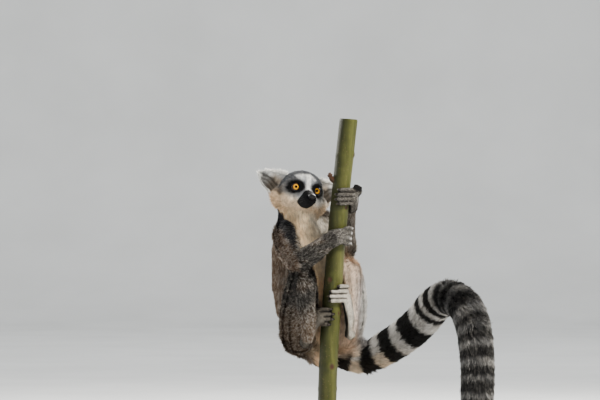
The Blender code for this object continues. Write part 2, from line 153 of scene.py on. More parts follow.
# The scars of lost twigs on the perch: height in millimetres, bearing in degrees and size in millimetres.
KNOTS = (
    (436, -45, 4.0), (321, -111, 5.0), (182, -68, 5.5), (267, -38, 3.5), (520, -20, 3.0), (146, 60, 5.0),
)

# Per node: coat depth over the skin, hair length and tuft width in millimetres, and ruffle.
COAT = {
    "head": (3.2, 6.5, 0.50, 0.15), "ear": (0.9, 7.5, 0.50, 0.20), "neck": (7.0, 13, 0.60, 0.12),
    "trunk": (7.5, 14, 0.65, 0.13), "upper_arm": (6.0, 11, 0.60, 0.15), "forearm": (3.8, 8, 0.55, 0.14),
    "hand": (0.5, 3.0, 0.40, 0.14), "thigh": (7.0, 13, 0.62, 0.15), "shank": (3.6, 8, 0.55, 0.14),
    "foot": (0.5, 3.0, 0.40, 0.14), "tail": (11.5, 13, 0.65, 0.10),
}
# How many clumps of hair there are to the metre.
CLUMPS = {"head": 300.0, "ear": 320.0, "neck": 190.0, "trunk": 170.0, "upper_arm": 240.0, "thigh": 220.0}
CLUMPS |= {"hand": 400.0, "foot": 400.0, "tail": 230.0}
# How much whole clumps and single tufts lean away from the lie, and how much they differ in lightness.
CLUMP_LEAN, TUFT_LEAN = 5.0, 0.7
CLUMP_SHADE, TUFT_SHADE = 0.40, 0.60
# Coat pieces: the nodes whose coat each one holds, its tufts at full quality, and a fur label.
PIECES = {
    "coat_head": (("head",), 23500, "fur_white"),
    "coat_ears": (EARS, 9500, "fur_white"),
    "coat_neck": (("neck",), 14000, "fur_grey"),
    "coat_trunk": (("trunk",), 23500, "fur_brown"),
    "coat_arm_right": (("upper_arm_right", "forearm_right"), 13500, "fur_grey"),
    "coat_arm_left": (("upper_arm_left", "forearm_left"), 10000, "fur_grey"),
    "coat_leg_right": (("thigh_right", "shank_right"), 16500, "fur_grey"),
    "coat_leg_left": (("thigh_left", "shank_left"), 16500, "fur_grey"),
    "coat_hands": (("hand_left", "hand_right"), 8000, "fur_grey"),
    "coat_feet": (("foot_left", "foot_right"), 8000, "fur_cream"),
    "coat_tail_root": (("tail_1", "tail_2", "tail_3"), 21500, "fur_black"),
    "coat_tail_end": (("tail_4", "tail_5", "tail_6"), 21500, "fur_white"),
}

# ---------------------------------------------------------------- colours
WHITE = (0.88, 0.87, 0.84)
CREAM = (0.76, 0.59, 0.38)
TAN = (0.60, 0.40, 0.22)
SLATE = (0.045, 0.050, 0.060)
BLACK = (0.006, 0.0055, 0.006)
BROWN = (0.17, 0.115, 0.075)
GREY = (0.13, 0.12, 0.11)
DARK_GREY = (0.032, 0.029, 0.027)
PALE_GREY = (0.42, 0.40, 0.37)
BARE = (0.010, 0.009, 0.0095)
TAIL_WHITE = (0.66, 0.64, 0.61)
# Each limb's fur: its inner colour, how strong that is, and its outer colour.
LIMB_FUR = {
    "thigh_left": (CREAM, 0.15, (0.44, 0.42, 0.43)), "shank_left": (CREAM, 0.15, (0.44, 0.42, 0.43)),
    "upper_arm_left": (CREAM, 0.3, DARK_GREY), "upper_arm_right": (CREAM, 0.3, DARK_GREY),
    "forearm_left": (TAN, 0.5, (0.22, 0.19, 0.165)),
}
# Each grip's fur, and how strongly painted rim light whitens its outer rim, the side that faces +X.
GRIP_FUR = {
    "hand_right": ((0.070, 0.064, 0.058), 0.75), "hand_left": ((0.105, 0.095, 0.082), 0.5),
    "foot_right": ((0.13, 0.115, 0.095), 0.0), "foot_left": ((0.72, 0.67, 0.58), 0.5),
}
# The nodes of the left leg, whose coat is paler than the right one's, with painted rim light on the side
# that faces +X.
PALE_LEG = ("thigh_left", "shank_left")
# The parts whose hairs have pale tips.
GRIZZLED = ("upper_arm", "forearm", "thigh", "shank", "hand")


# ---------------------------------------------------------------- small tools
def link(obj):
    bpy.context.scene.collection.objects.link(obj)
    return obj


def read(items, field, width=1, kind=np.float32):
    """One field of a mesh's points, edges, corners or attribute, a row for each item."""
    flat = np.empty(len(items) * width, dtype=kind)
    items.foreach_get(field, flat)
    return flat.reshape(-1, width) if width > 1 else flat


def mesh_points(mesh):
    """A mesh's points, one row each."""
    return read(mesh.vertices, "co", 3).astype(float)


def nearest_rows(cloud, points):
    """For each point, the row of the cloud's point nearest to it."""
    tree = KDTree(len(cloud))
    for row, spot in enumerate(cloud):
        tree.insert(spot, row)
    tree.balance()
    return np.array([tree.find(p)[1] for p in points])


def box_middle(name):
    low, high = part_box(name)
    return (low + high) / 2


def unit(rows):
    return rows / np.maximum(np.linalg.norm(rows, axis=-1, keepdims=True), 1e-9)


def step(values, low, high):
    """A smooth rise from 0 at low to 1 at high."""
    t = np.clip((values - low) / (high - low), 0, 1)
    return t * t * (3 - 2 * t)


def plain(colour, points):
    """One colour for every point."""
    return np.tile(np.array(colour), (len(points), 1))


def paint(colours, *coats):
    """The colours turned towards those of the coats in turn, by each coat's share at each point."""
    for colour, share in coats:
        colours = colours + (np.asarray(colour) - colours) * share[:, None]
    return colours


def waves(points, scale, seed=0):
    """Soft noise from -1 to 1 at the points, as a sum of turned sine waves of about the given size."""
    rng = np.random.default_rng(seed)
    total = np.zeros(len(points))
    for octave in range(4):
        way = unit(rng.normal(size=(3, 3)))
        offset = rng.uniform(0, 6.3, 3)
        part = np.sin(points @ way.T * (2 * math.pi / scale * 1.7**octave) + offset)
        total += part.sum(axis=1) / 3 * 0.62**octave
    return total / 1.4


def smooth_curve(points, per):
    """A Catmull-Rom curve through the points, with per steps between neighbours."""
    rows = np.asarray(points, dtype=float)
    ends = np.vstack([rows[0], rows, rows[-1]])
    out = []
    for i in range(len(rows) - 1):
        a, b, c, d = ends[i : i + 4]
        for t in np.arange(per) / per:
            square = (2 * a - 5 * b + 4 * c - d) * t * t
            cube = (3 * b - a - 3 * c + d) * t**3
            out.append(0.5 * (2 * b + (c - a) * t + square + cube))
    return np.array(out + [rows[-1]])


def mesh_from(name, points, faces):
    mesh = bpy.data.meshes.new(name)
    mesh.from_pydata([tuple(p) for p in points], [], [tuple(f) for f in faces])
    mesh.update()
    mesh.shade_smooth()
    return mesh


def ball_faces(rows, columns):
    """Faces of a ball with one point at each end and rings of points between."""
    last = (rows - 2) * columns + 1
    faces = []
    for j in range(columns):
        right = (j + 1) % columns
        faces += [(0, 1 + j, 1 + right), (last, last - columns + right, last - columns + j)]
        for low in range(1, last - columns, columns):
            faces.append((low + j, low + columns + j, low + columns + right, low + right))
    return faces


def grid_faces(rows, columns, closed):
    """Quads of a grid whose columns go round when closed."""
    faces = []
    for low in range(0, (rows - 1) * columns, columns):
        for j in range(columns if closed else columns - 1):
            right = (j + 1) % columns
            faces.append((low + j, low + right, low + columns + right, low + columns + j))
    return faces


def outward(mesh):
    """Turns a closed mesh's faces outwards."""
    build = bmesh.new()
    build.from_mesh(mesh)
    bmesh.ops.recalc_face_normals(build, faces=build.faces)
    build.to_mesh(mesh)
    build.free()
    return mesh


def settle(obj):
    """Replaces the object's modifiers by their result."""
    bpy.context.view_layer.update()
    graph = bpy.context.evaluated_depsgraph_get()
    made = bpy.data.meshes.new_from_object(obj.evaluated_get(graph))
    obj.modifiers.clear()
    obj.data = made
    return made


def set_attribute(mesh, name, kind, values):
    """Stores one value for each point. kind is FLOAT, FLOAT_VECTOR or FLOAT_COLOR."""
    if mesh.attributes.get(name):
        mesh.attributes.remove(mesh.attributes[name])
    field = {"FLOAT": "value", "FLOAT_COLOR": "color"}.get(kind, "vector")
    values = np.asarray(values, dtype=np.float32).ravel()
    mesh.attributes.new(name, kind, "POINT").data.foreach_set(field, values)


def piece(name, mesh, materials, replaces=()):
    """A finished piece of the object."""
    obj = link(bpy.data.objects.new(name, mesh))
    mesh.materials.clear()
    for material in materials:
        mesh.materials.append(material)
    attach(obj, "root")
    if replaces:
        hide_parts(*replaces)
    return obj


# ---------------------------------------------------------------- node trees
def socket(sockets, key):
    if isinstance(key, int):
        return sockets[key]
    return next(s for s in sockets if s.name == key and s.enabled)


def fill(tree, node, inputs):
    """Sets a node's inputs to values or to other nodes' outputs."""
    for key, value in inputs.items():
        goal = socket(node.inputs, key)
        if isinstance(value, bpy.types.NodeSocket):
            tree.links.new(value, goal)
        else:
            goal.default_value = value


def add(tree, kind, inputs=None, **settings):
    """A new node. Its inputs are given as values or as other nodes' outputs."""
    node = tree.nodes.new(kind)
    for key, value in settings.items():
        setattr(node, key, value)
    fill(tree, node, inputs or {})
    return node


def math_node(tree, operation, *values):
    return add(tree, "ShaderNodeMath", dict(enumerate(values)), operation=operation).outputs[0]


def mix(tree, share, first, second, mode="MIX"):
    settings = {"data_type": "RGBA", "blend_type": mode}
    return add(tree, "ShaderNodeMix", {0: share, 6: first, 7: second}, **settings).outputs[2]


def tinted(tree, colour, tint):
    return mix(tree, 1.0, colour, tint, "MULTIPLY")


def ramp(tree, value, *stops):
    """A colour ramp. stops are (place, colour) with grey given as one number."""
    node = add(tree, "ShaderNodeValToRGB", {0: value})
    while len(node.color_ramp.elements) < len(stops):
        node.color_ramp.elements.new(0.5)
    for element, (place, colour) in zip(node.color_ramp.elements, stops):
        element.position = place
        element.color = (*(colour if isinstance(colour, tuple) else (colour,) * 3), 1)
    return node.outputs[0]


def noise(tree, place, scale, detail=3.0, roughness=0.55):
    inputs = {"Vector": place, "Scale": scale, "Detail": detail, "Roughness": roughness}
    return add(tree, "ShaderNodeTexNoise", inputs).outputs[0]


def voronoi(tree, place, scale):
    return add(tree, "ShaderNodeTexVoronoi", {"Vector": place, "Scale": scale}).outputs["Distance"]


def attribute(tree, name, output="Fac"):
    return add(tree, "ShaderNodeAttribute", attribute_name=name).outputs[output]


def object_place(tree, stretch=(1, 1, 1)):
    coords = add(tree, "ShaderNodeTexCoord").outputs["Object"]
    return add(tree, "ShaderNodeMapping", {"Vector": coords, "Scale": stretch}).outputs[0]


def bump(tree, height, strength, distance):
    inputs = {"Height": height, "Strength": strength, "Distance": distance}
    return add(tree, "ShaderNodeBump", inputs).outputs[0]


def new_material(name, **values):
    """A Principled material. values are its plain settings, with _ for spaces in their names."""
    material = bpy.data.materials.new(name)
    material.use_nodes = True
    tree = material.node_tree
    shader = tree.nodes["Principled BSDF"]
    for key, value in values.items():
        shader.inputs[key.replace("_", " ")].default_value = value
    return material, tree, shader


def feed(tree, shader, **sources):
    for key, source in sources.items():
        tree.links.new(source, shader.inputs[key.replace("_", " ")])


def new_group(name, inputs, outputs):
    """A shader node group. inputs and outputs map socket names to kinds, and inputs may carry defaults."""
    tree = bpy.data.node_groups.new(name, "ShaderNodeTree")
    for label, (kind, value) in inputs.items():
        made = tree.interface.new_socket(label, in_out="INPUT", socket_type=kind)
        if value is not None:
            made.default_value = value
    for label, kind in outputs.items():
        tree.interface.new_socket(label, in_out="OUTPUT", socket_type=kind)
    return tree, tree.nodes.new("NodeGroupInput").outputs, tree.nodes.new("NodeGroupOutput").inputs


# ---------------------------------------------------------------- places read from the frame
EYES = {side: box_middle(f"eye_{side}") for side in SIDES}
EYE_RADIUS = max((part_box("eye_left")[1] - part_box("eye_left")[0]) / 2)


def head_frame():
    """The head's own place: X to the animal's right, Y forward and Z up, from the middle of the eyes."""
    middle = (EYES["left"] + EYES["right"]) / 2
    right = (EYES["right"] - EYES["left"]).normalized()
    to_nose = box_middle("nose") - middle
    to_nose = (to_nose - to_nose.dot(right) * right).normalized()
    forward = Matrix.Rotation(NOSE_TILT, 3, right) @ to_nose
    place = Matrix((right, forward, right.cross(forward))).transposed().to_4x4()
    place.translation = middle + forward * EYES_BEHIND_FACE
    return place


HEAD = head_frame()
HEAD_AXES = np.array(HEAD.to_3x3())
HEAD_ORIGIN = np.array(HEAD.translation)


def to_head(points):
    """World points in the head's own millimetres."""
    return (points - HEAD_ORIGIN) @ HEAD_AXES / MM


def from_head(points):
    """World points from places in the head's own millimetres."""
    return np.asarray(points) * MM @ HEAD_AXES.T + HEAD_ORIGIN


def head_place(spot):
    """One place in the head's own frame."""
    return to_head(np.array([spot]))[0]


def level_way(degrees):
    """A level way at a bearing, seen from above."""
    turn = math.radians(degrees)
    return np.array([math.cos(turn), math.sin(turn), 0])


def perch_line():
    """The perch's foot and top on its axis, and its radius at each."""
    points = mesh_points(frame["nodes"]["perch"].data)
    low, high = points[:, 2].min(), points[:, 2].max()
    foot = points[points[:, 2] < low + END_SLICE].mean(axis=0)
    top = points[points[:, 2] > high - END_SLICE].mean(axis=0)
    foot[2], top[2] = low, high
    share = (points[:, 2] - low) / (high - low)
    bent = np.where(np.arange(3) == 0, share[:, None] ** PERCH_BEND, share[:, None])
    reach = np.linalg.norm(points[:, :2] - (foot + bent * (top - foot))[:, :2], axis=1)
    wall = (reach > WALL_RADII[0]) & (reach < WALL_RADII[1])
    slope, start = np.polyfit(share[wall], reach[wall], 1)
    return foot, top, start, start + slope


PERCH_FOOT, PERCH_TOP, PERCH_LOW_RADIUS, PERCH_HIGH_RADIUS = perch_line()


def perch_at(heights):
    """Points on the perch's bent axis at the heights, and the radius there."""
    low, high = PERCH_FOOT[2], PERCH_TOP[2]
    share = np.clip((np.asarray(heights, dtype=float) - low) / (high - low), 0, 2)
    centre = PERCH_FOOT + share[..., None] * (PERCH_TOP - PERCH_FOOT)
    centre[..., 0] = PERCH_FOOT[0] + share**PERCH_BEND * (PERCH_TOP[0] - PERCH_FOOT[0])
    return centre, PERCH_LOW_RADIUS + share * (PERCH_HIGH_RADIUS - PERCH_LOW_RADIUS)


TAIL_LINE = smooth_curve(TAIL_ROUTE, 40) * MM
TAIL_RUN = np.concatenate([[0], np.cumsum(np.linalg.norm(np.diff(TAIL_LINE, axis=0), axis=1))]) / MM
FLESH = [n for n in sorted(frame["nodes"]) if not n.startswith(("eye_", "stand_", "perch", "nose"))]


def kind_of(node):
    """The coat table's row for a node."""
    return node.replace("_left", "").replace("_right", "").rstrip("_123456")


# ---------------------------------------------------------------- skin
class Surface:
    """Arrays of a mesh's points and edges."""

    def __init__(self, mesh):
        self.mesh = mesh
        self.points = mesh_points(mesh)
        self.edges = read(mesh.edges, "vertices", 2, np.int32)
        self.degree = np.maximum(np.bincount(self.edges.ravel(), minlength=len(self.points)), 1)

    def write(self):
        self.mesh.vertices.foreach_set("co", self.points.astype(np.float32).ravel())
        self.mesh.update()

    def normals(self):
        self.write()
        return read(self.mesh.vertices, "normal", 3).astype(float)

    def spread(self, values, rounds, share=0.5):
        """Evens the values out over the surface."""
        a, b = self.edges[:, 0], self.edges[:, 1]
        values = np.array(values, dtype=float)
        table = values.reshape(len(values), -1)
        for _ in range(rounds):
            total = np.empty_like(table)
            for column in range(table.shape[1]):
                part = table[:, column]
                total[:, column] = np.bincount(a, part[b], len(part)) + np.bincount(b, part[a], len(part))
            table = table + (total / self.degree[:, None] - table) * share
        return table.reshape(values.shape)


def fused_flesh():
    """One closed mesh round all the flesh nodes."""
    build = bmesh.new()
    for name in FLESH:
        build.from_mesh(frame["nodes"][name].data)
    bmesh.ops.remove_doubles(build, verts=build.verts, dist=1e-6)
    build.normal_update()
    for vert, normal in [(v, v.normal.copy()) for v in build.verts]:
        vert.co += normal * SKIN_SWELL
    mesh = bpy.data.meshes.new("skin")
    build.to_mesh(mesh)
    build.free()
    obj = link(bpy.data.objects.new("skin", mesh))
    fuse = obj.modifiers.new("fuse", "REMESH")
    fuse.mode = "VOXEL"
    fuse.voxel_size = SKIN_VOXEL
    settle(obj)
    return obj


def belongs(shares, *names):
    """How much each point belongs to the named nodes together."""
    return sum(shares[:, FLESH.index(name)] for name in names)


def node_shares(surface, rounds=10):
    """For each point, its nearest flesh node, and how much it belongs to each of them."""
    clouds, labels = [], []
    for index, name in enumerate(FLESH):
        mesh = frame["nodes"][name].data
        points = mesh_points(mesh)
        tris = points[read(mesh.loops, "vertex_index", 1, np.int32).reshape(-1, 3)]
        middles = tris.mean(axis=1)
        halves = (tris + np.roll(tris, 1, axis=1)).reshape(-1, 3) / 2
        quarters = (tris * 0.6 + middles[:, None] * 0.4).reshape(-1, 3)
        clouds += [points, middles, halves, quarters]
        labels += [index] * sum(map(len, clouds[-4:]))
    nearest = np.array(labels)[nearest_rows(np.vstack(clouds), surface.points)]
    shares = np.zeros((len(surface.points), len(FLESH)))
    shares[np.arange(len(nearest)), nearest] = 1
    return nearest, surface.spread(shares, rounds)


def node_ways(points, shares):
    """The lie of the coat at each point, before it is laid flat on the skin."""
    ways = np.zeros((len(FLESH), len(points), 3))
    centre, _ = perch_at(points[:, 2])
    around = np.cross((0, 0, 1), unit((points - centre) * (1, 1, 0)))
    along_tail = unit(np.gradient(TAIL_LINE, axis=0))
    for index, name in enumerate(FLESH):
        here = shares[:, index] > 0.01
        if name == "head":
            ways[index, here] = head_way(points[here])
        elif name in EARS:
            root = from_head([32 if name.endswith("right") else -32, -38, -6])
            ways[index, here] = points[here] - root
        elif name in GRIP_WAY:
            ways[index, here] = around[here] * GRIP_WAY[name]
        elif kind_of(name) == "tail":
            ways[index, here] = along_tail[tail_spots(points[here])]
        else:
            ways[index, here] = limb_way(name)
    return np.einsum("nk,knd->nd", shares, unit(ways))


def laid_flat(ways, normals):
    """The ways turned into the surface."""
    return unit(ways - np.einsum("nd,nd->n", ways, normals)[:, None] * normals)


def head_way(points):
    """Back from the nose over the face, and down and back over the cheeks."""
    place = to_head(points)
    way = place - np.array([0, 34, -12])
    way[:, 1] -= 12
    way[:, 2] -= 10 * step(-place[:, 2], 4, 22)
    return unit(way) @ HEAD_AXES.T


def limb_way(name):
    """From a node's own upper end to its lower one."""
    if name in BODY_WAYS:
        return np.array(BODY_WAYS[name])
    kind, side = name.rsplit("_", 1)
    chain = next(c for c in LIMBS if kind in c)
    goal = np.array(box_middle(f"{chain[chain.index(kind) + 1]}_{side}"))
    return unit(goal - np.array(box_middle(name)))


def coat_numbers(shares, column):
    """One column of the coat table for each point."""
    return shares @ np.array([COAT[kind_of(name)][column] for name in FLESH], dtype=float)


def coat_depth(surface, shares):
    """How far the skin lies inside the tips of the coat, in metres."""
    depth = coat_numbers(shares, 0)
    _, y, z = to_head(surface.points).T
    ruff = step(-y, 12, 34) * step(-z, 2, 22)
    depth += belongs(shares, "head") * (ruff * 3.0 - step(y, -6, 10) * 2.2 - step(z, 8, 20) * 2.4)
    return surface.spread(depth, 12) * MM


def tail_spots(points):
    """The nearest place on the tail's middle line to each point, as its row."""
    return nearest_rows(TAIL_LINE, points)


def sink(surface, depth, fine, ears, tail, rounds=8):
    """Draws the surface in by the depth, evening it out as it goes except where it is fine."""
    on_tail = np.flatnonzero(tail > 0.01)
    middles = TAIL_LINE[tail_spots(surface.points[on_tail])]
    for _ in range(rounds):
        ways = surface.normals()
        smooth = surface.spread(ways, 8)
        ways = ways + (smooth - ways) * np.clip(1 - fine - 3 * ears, 0, 1)[:, None]
        radial = unit(surface.points[on_tail] - middles)
        ways[on_tail] += (radial - ways[on_tail]) * tail[on_tail, None]
        surface.points = surface.points - unit(ways) * depth[:, None] / rounds
        calm = np.clip(depth / 0.008, 0.12, 0.6) * np.clip(1 - fine - 0.8 * ears, 0, 1)
        evened = surface.spread(surface.points, 1, 0.5)
        surface.points = surface.points + (evened - surface.points) * calm[:, None]


def fill_creases(surface, amount, most=0.003, rounds=14):
    """Raises the hollows between neighbouring limbs and trunk a little, as the coat does."""
    start = surface.points
    for _ in range(rounds):
        normals = surface.normals()
        rise = np.einsum("nd,nd->n", surface.spread(surface.points, 1, 1.0) - surface.points, normals)
        surface.points = surface.points + normals * (np.clip(rise, 0, None) * amount)[:, None]
    moved = surface.points - start
    far = np.linalg.norm(moved, axis=1, keepdims=True)
    surface.points = start + moved * np.minimum(1, most / np.maximum(far, 1e-9))


def ear_axes():
    """An ear's ways in the head's own frame, from root to tip and across its hollow."""
    along = unit(np.array(EAR_ALONG))
    hollow = np.array(EAR_HOLLOW) - np.dot(EAR_HOLLOW, along) * along
    return along, np.cross(along, unit(hollow))


def ear_side(place):
    """Turns a place on the left ear into the same place on the right one, and back."""
    return np.where(np.arange(3) == 0, np.sign(place[:, :1]), 1.0)


def draw_in_ears(surface, ears):
    """Shortens the ears' skin so that the hair at their rims reaches the full outline."""
    far, wide = ear_place(surface.points)
    place = to_head(surface.points)
    along, across = ear_axes()
    shift = along * (far * EAR_LENGTH * -0.13)[:, None] + across * (wide * EAR_HALF * -0.15)[:, None]
    share = ears * step(far, 0.0, 0.35)
    surface.points = from_head(place + shift * ear_side(place) * share[:, None])


def looking(turn):
    """A way out of an eye in the head's own frame: forward, and turned to the animal's right by an angle."""
    return Vector((math.sin(turn), math.cos(turn), 0.03)).normalized()


def opening(side):
    """The way that the lids' opening faces, a little outward from the gaze."""
    return looking(GAZE_TURN * 0.4 + (OPENING_TURN if side == "right" else -OPENING_TURN))


def from_eye(place, side):
    """The eye's middle, each point's way and distance from it, and its angle off the opening's way."""
    eye = head_place(EYES[side])
    away = place - eye
    reach = np.linalg.norm(away, axis=1)
    facing = away @ np.array(opening(side)) / np.maximum(reach, 1e-6)
    return eye, away, reach, np.arccos(np.clip(facing, -1, 1))


def shape_face(surface):
    """Eye openings, folds of the lids and the mouth."""
    place = to_head(surface.points)
    radius = EYE_RADIUS / MM
    for side in SIDES:
        eye, away, reach, off = from_eye(place, side)
        near = step(-reach, -(radius + 7.0), -(radius + 1.5))
        near = near * step(-off, -math.radians(108), -math.radians(78))
        moved = eye + away / np.maximum(reach, 1e-6)[:, None] * (radius + 0.8)
        place = place + (moved - place) * near[:, None]
        eye, away, reach, off = from_eye(place, side)
        inside = (reach < radius + 4) & (off < EYE_OPENING)
        place[inside] = eye + away[inside] / reach[inside, None] * (radius - 1.2)
    x, y, z = place.T
    lip = np.abs(z - (-24.5 - 0.05 * (y - 10)))
    mouth = step(y, 4, 9) * step(-lip, -1.8, -0.2) * step(np.abs(x), 0.5, 3)
    place[:, 0] -= np.sign(x) * mouth * 0.8
    surface.points = from_head(place)


# ---------------------------------------------------------------- markings
def grip_side(points, normals):
    """How much each point faces the perch from close by."""
    centre, radius = perch_at(points[:, 2])
    to_perch = (centre - points) * (1, 1, 0)
    gap = np.linalg.norm(to_perch, axis=1) - radius
    facing = np.einsum("nd,nd->n", unit(to_perch), normals)
    return step(facing, 0.05, 0.45) * step(-gap, -0.022, -0.012)


def head_colours(points):
    """The white face with black eye patches and snout, under a slate crown."""
    x, y, z = to_head(points).T
    side = np.abs(x)
    wobble = waves(points, 0.011, 3) * 1.3
    back = step(-y + wobble, 6, 26) * step(-z, -2, 20)
    fan = np.abs(x - 2.0) + wobble * 1.5 - 10 - 1.0 * np.maximum(z - 12, 0)
    leftward = 0.65 * np.clip(-x - 2, 0, 24) * step(z, 2, 12)
    crown = step(z + wobble - 0.4 * y + 0.12 * np.abs(x - 2) + leftward, 18.5, 23.5)
    crown = np.maximum(crown, step(fan, -1.5, 2.5) * step(z + 0.35 * wobble - 0.25 * y, 5.0, 9.5))
    crown = np.maximum(crown, step(-y + wobble, 19, 27) * step(z, -12, 2))
    ear_root_shadow_reach = np.hypot((side - 33) / 8.0, (z + 4) / 9.0) + 0.05 * wobble
    streak = np.sin(np.arctan2(x - 2.0, z + 6) * 44 + 1.5 * wobble) + 0.6 * np.sin(x * 1.9 + wobble)
    muzzle = step(y, 2, 8) * step(z, -19, -12) * step(side, 2.0, 5)
    front = step(y, -24, -12)
    halo = np.hypot((side - 18) / 15.5, (z + 1.5) / 14.0) + wobble * 0.04
    reach = np.hypot((side - 16.2) / 11.4, (z - 0.8 + 0.06 * (side - 16)) / 10.4) + wobble * 0.03
    patch = step(-reach, -1.10, -0.90) * front
    bridge = step(y - 0.35 * side + wobble * 0.4, 13.5, 16.0)
    lips = step(-(z + 13 + 0.5 * (19 - y)) + wobble * 0.4, -1.2, 1.2) * step(y + wobble * 0.4, 0.5, 3.5)
    lips = lips * step(z + 0.12 * y, -32.5, -29.5)
    return paint(
        plain(WHITE, points),
        ((0.70, 0.52, 0.33), step(-z - 0.5 * y + 0.2 * x + wobble, 8, 26) * 0.85),
        (TAN, back * 0.55 * step(x, -30, 20)),
        (SLATE, crown * 0.95),
        ((0.34, 0.28, 0.22), step(side, 23, 30) * step(z, -14, -2) * (1 - crown) * 0.8),
        # Painted shadow on the head under and behind the ear's root.
        ((0.075, 0.058, 0.045), step(-ear_root_shadow_reach, -1.0, -0.6) * step(-y, 8, 16) * (1 - crown) * 0.8),
        (SLATE, step(streak, 0.3, 1.1) * step(z - 0.4 * y, 15, 24) * step(z, 10, 16) * 0.7),
        (PALE_GREY, step(streak, 0.4, 1.2) * crown * step(x, 2, 12) * 0.3),
        ((0.17, 0.185, 0.215), muzzle * 0.85),
        ((0.24, 0.23, 0.22), step(-halo, -1.12, -0.78) * front * 0.7),
        (BLACK, patch),
        (SLATE, step(-reach, -1.28, -1.02) * (1 - patch) * front * 0.6),
        (BLACK, np.maximum(bridge * step(z + 0.1 * y, -31, -28), lips)),
    )


def ear_place(points):
    """Each point's place on its ear: 0 to 1 from root to tip, -1 to 1 from lower to upper edge."""
    place = to_head(points)
    along, across = ear_axes()
    away = place * ear_side(place) - np.array(EAR_ROOT)
    return away @ along / EAR_LENGTH, away @ across / EAR_HALF


def ear_colours(points, normals):
    """White hair outside and round the rim, and a dark hollow that turns tan towards the head."""
    far, wide = ear_place(points)
    wobble = waves(points, 0.010, 8) * 0.10
    hollow = step((normals @ HEAD_AXES)[:, 1], 0.05, 0.4)
    fawn = step(-far, -0.60, -0.35) * step(-wide, -0.75, -0.35)
    dark = step(far - 0.3 * wide + wobble, 0.02, 0.22) * step(-far + wobble, -0.90, -0.76)
    dark = dark * step(wide + wobble, -0.86, -0.72) * step(-wide + wobble, -0.42, -0.14)
    streak = 0.88 + 0.06 * np.sin(wide * 21 + 2.0 * np.sin(far * 9))
    return paint(
        plain(WHITE, points),
        ((0.34, 0.26, 0.18), hollow * fawn * 0.85),
        ((0.014, 0.012, 0.011), hollow * dark * streak),
        (PALE_GREY, (1 - hollow) * step(waves(points, 0.02, 12), 0.1, 0.8) * 0.12),
    )


def body_turn(points):
    """How far round from the middle of the belly each point is, in degrees, negative to its left."""
    height = points[:, 2] / MM
    middle_x = np.interp(height, (210, 255, 285, 318, 350, 400, 440), (-8, -20, -31, -36, -37, -40, -42))
    middle_y = np.interp(height, (210, 255, 285, 318, 350, 400, 440), (46, 55, 62, 66, 66, 60, 47))
    bearing = np.degrees(np.arctan2(points[:, 1] / MM - middle_y, points[:, 0] / MM - middle_x))
    belly = np.interp(height, (240, 330, 400, 424, 440), (-58, -50, -50, -60, -66))
    return (bearing - belly + 180) % 360 - 180


def body_colours(points):
    """Cream throat, chest and belly, a dark yoke down to the shoulder, and a warm grey-brown back."""
    height = points[:, 2] / MM
    wobble = waves(points, 0.026, 5)
    signed = body_turn(points)
    turn = np.abs(signed)
    edge = np.interp(height, (300, 345, 376, 392, 408, 424, 440), (66, 60, 44, 50, 60, 74, 92))
    hem = np.interp(turn, (45, 110, 180), (370, 398, 402))
    yoke = step(height - hem + 5 * wobble, -9, 9)
    left_shoulder = step(signed, 30, 60) * step(-signed, -140, -100)
    front = step(-(turn + wobble * 5), -(edge + 6), -(edge - 6))
    chest = paint(
        plain((0.93, 0.79, 0.58), points),
        (WHITE, step(signed, -10, 40) * 0.6),
        (CREAM, step(-signed, 18, 55) * 0.8),
        # The lower belly's cream, partly painted light: made lighter to stand in for light in the hollow
        # between the thigh and the perch.
        ((0.95, 0.72, 0.48), step(-height, -350, -310) * 0.9),
    )
    return paint(
        plain(BROWN, points),
        (PALE_GREY, step(wobble, 0.0, 0.9) * 0.35),
        (GREY, step(height, 330, 375) * step(-turn, -100, -55) * 0.8),
        ((0.024, 0.024, 0.028), yoke * (1 - 0.45 * left_shoulder)),
        (chest, front),
    )


def limb_colours(name, points, normals, axis, yoke):
    """A limb's own colour outside, and another on the side that faces the belly and the perch."""
    inner, inner_share, outer = LIMB_FUR.get(name, (CREAM, 0.85, DARK_GREY))
    inward = unit(axis + np.array([-0.030, 0.022, 0]) - points)
    facing = step(np.einsum("nd,nd->n", inward, normals), 0.05, 0.6)
    low = step(-points[:, 2] / MM, -292, -240) * (np.mean(outer) < 0.1)
    brown = step(waves(points, 0.03, 9), 0, 0.8) * 0.35
    coats = [(BROWN, brown), (BROWN, low * 0.8), (inner, facing * inner_share)]
    if name in PALE_LEG:
        out = (points[:, 0] - axis[:, 0]) / MM
        coats.append(((0.76, 0.60, 0.46), step(-out, -50, -32) * 0.9))
        # Painted rim light: white on the side of the left leg that faces +X.
        coats.append((WHITE, step(normals[:, 0], 0.5, 0.9) * step(out, 40, 50) * 0.8))
    if kind_of(name) == "upper_arm":
        behind = step(np.abs(body_turn(points)), 45, 75)
        coats.append((yoke, np.maximum(step(points[:, 2] / MM, 362, 382), behind * 0.8)))
    if name == "upper_arm_right":
        slant = -points[:, 2] / MM - 1.6 * points[:, 0] / MM + 4 * waves(points, 0.02, 17)
        coats.append(((0.20, 0.135, 0.09), step(slant, -288, -270) * 0.9))
    return paint(plain(outer, points), *coats)


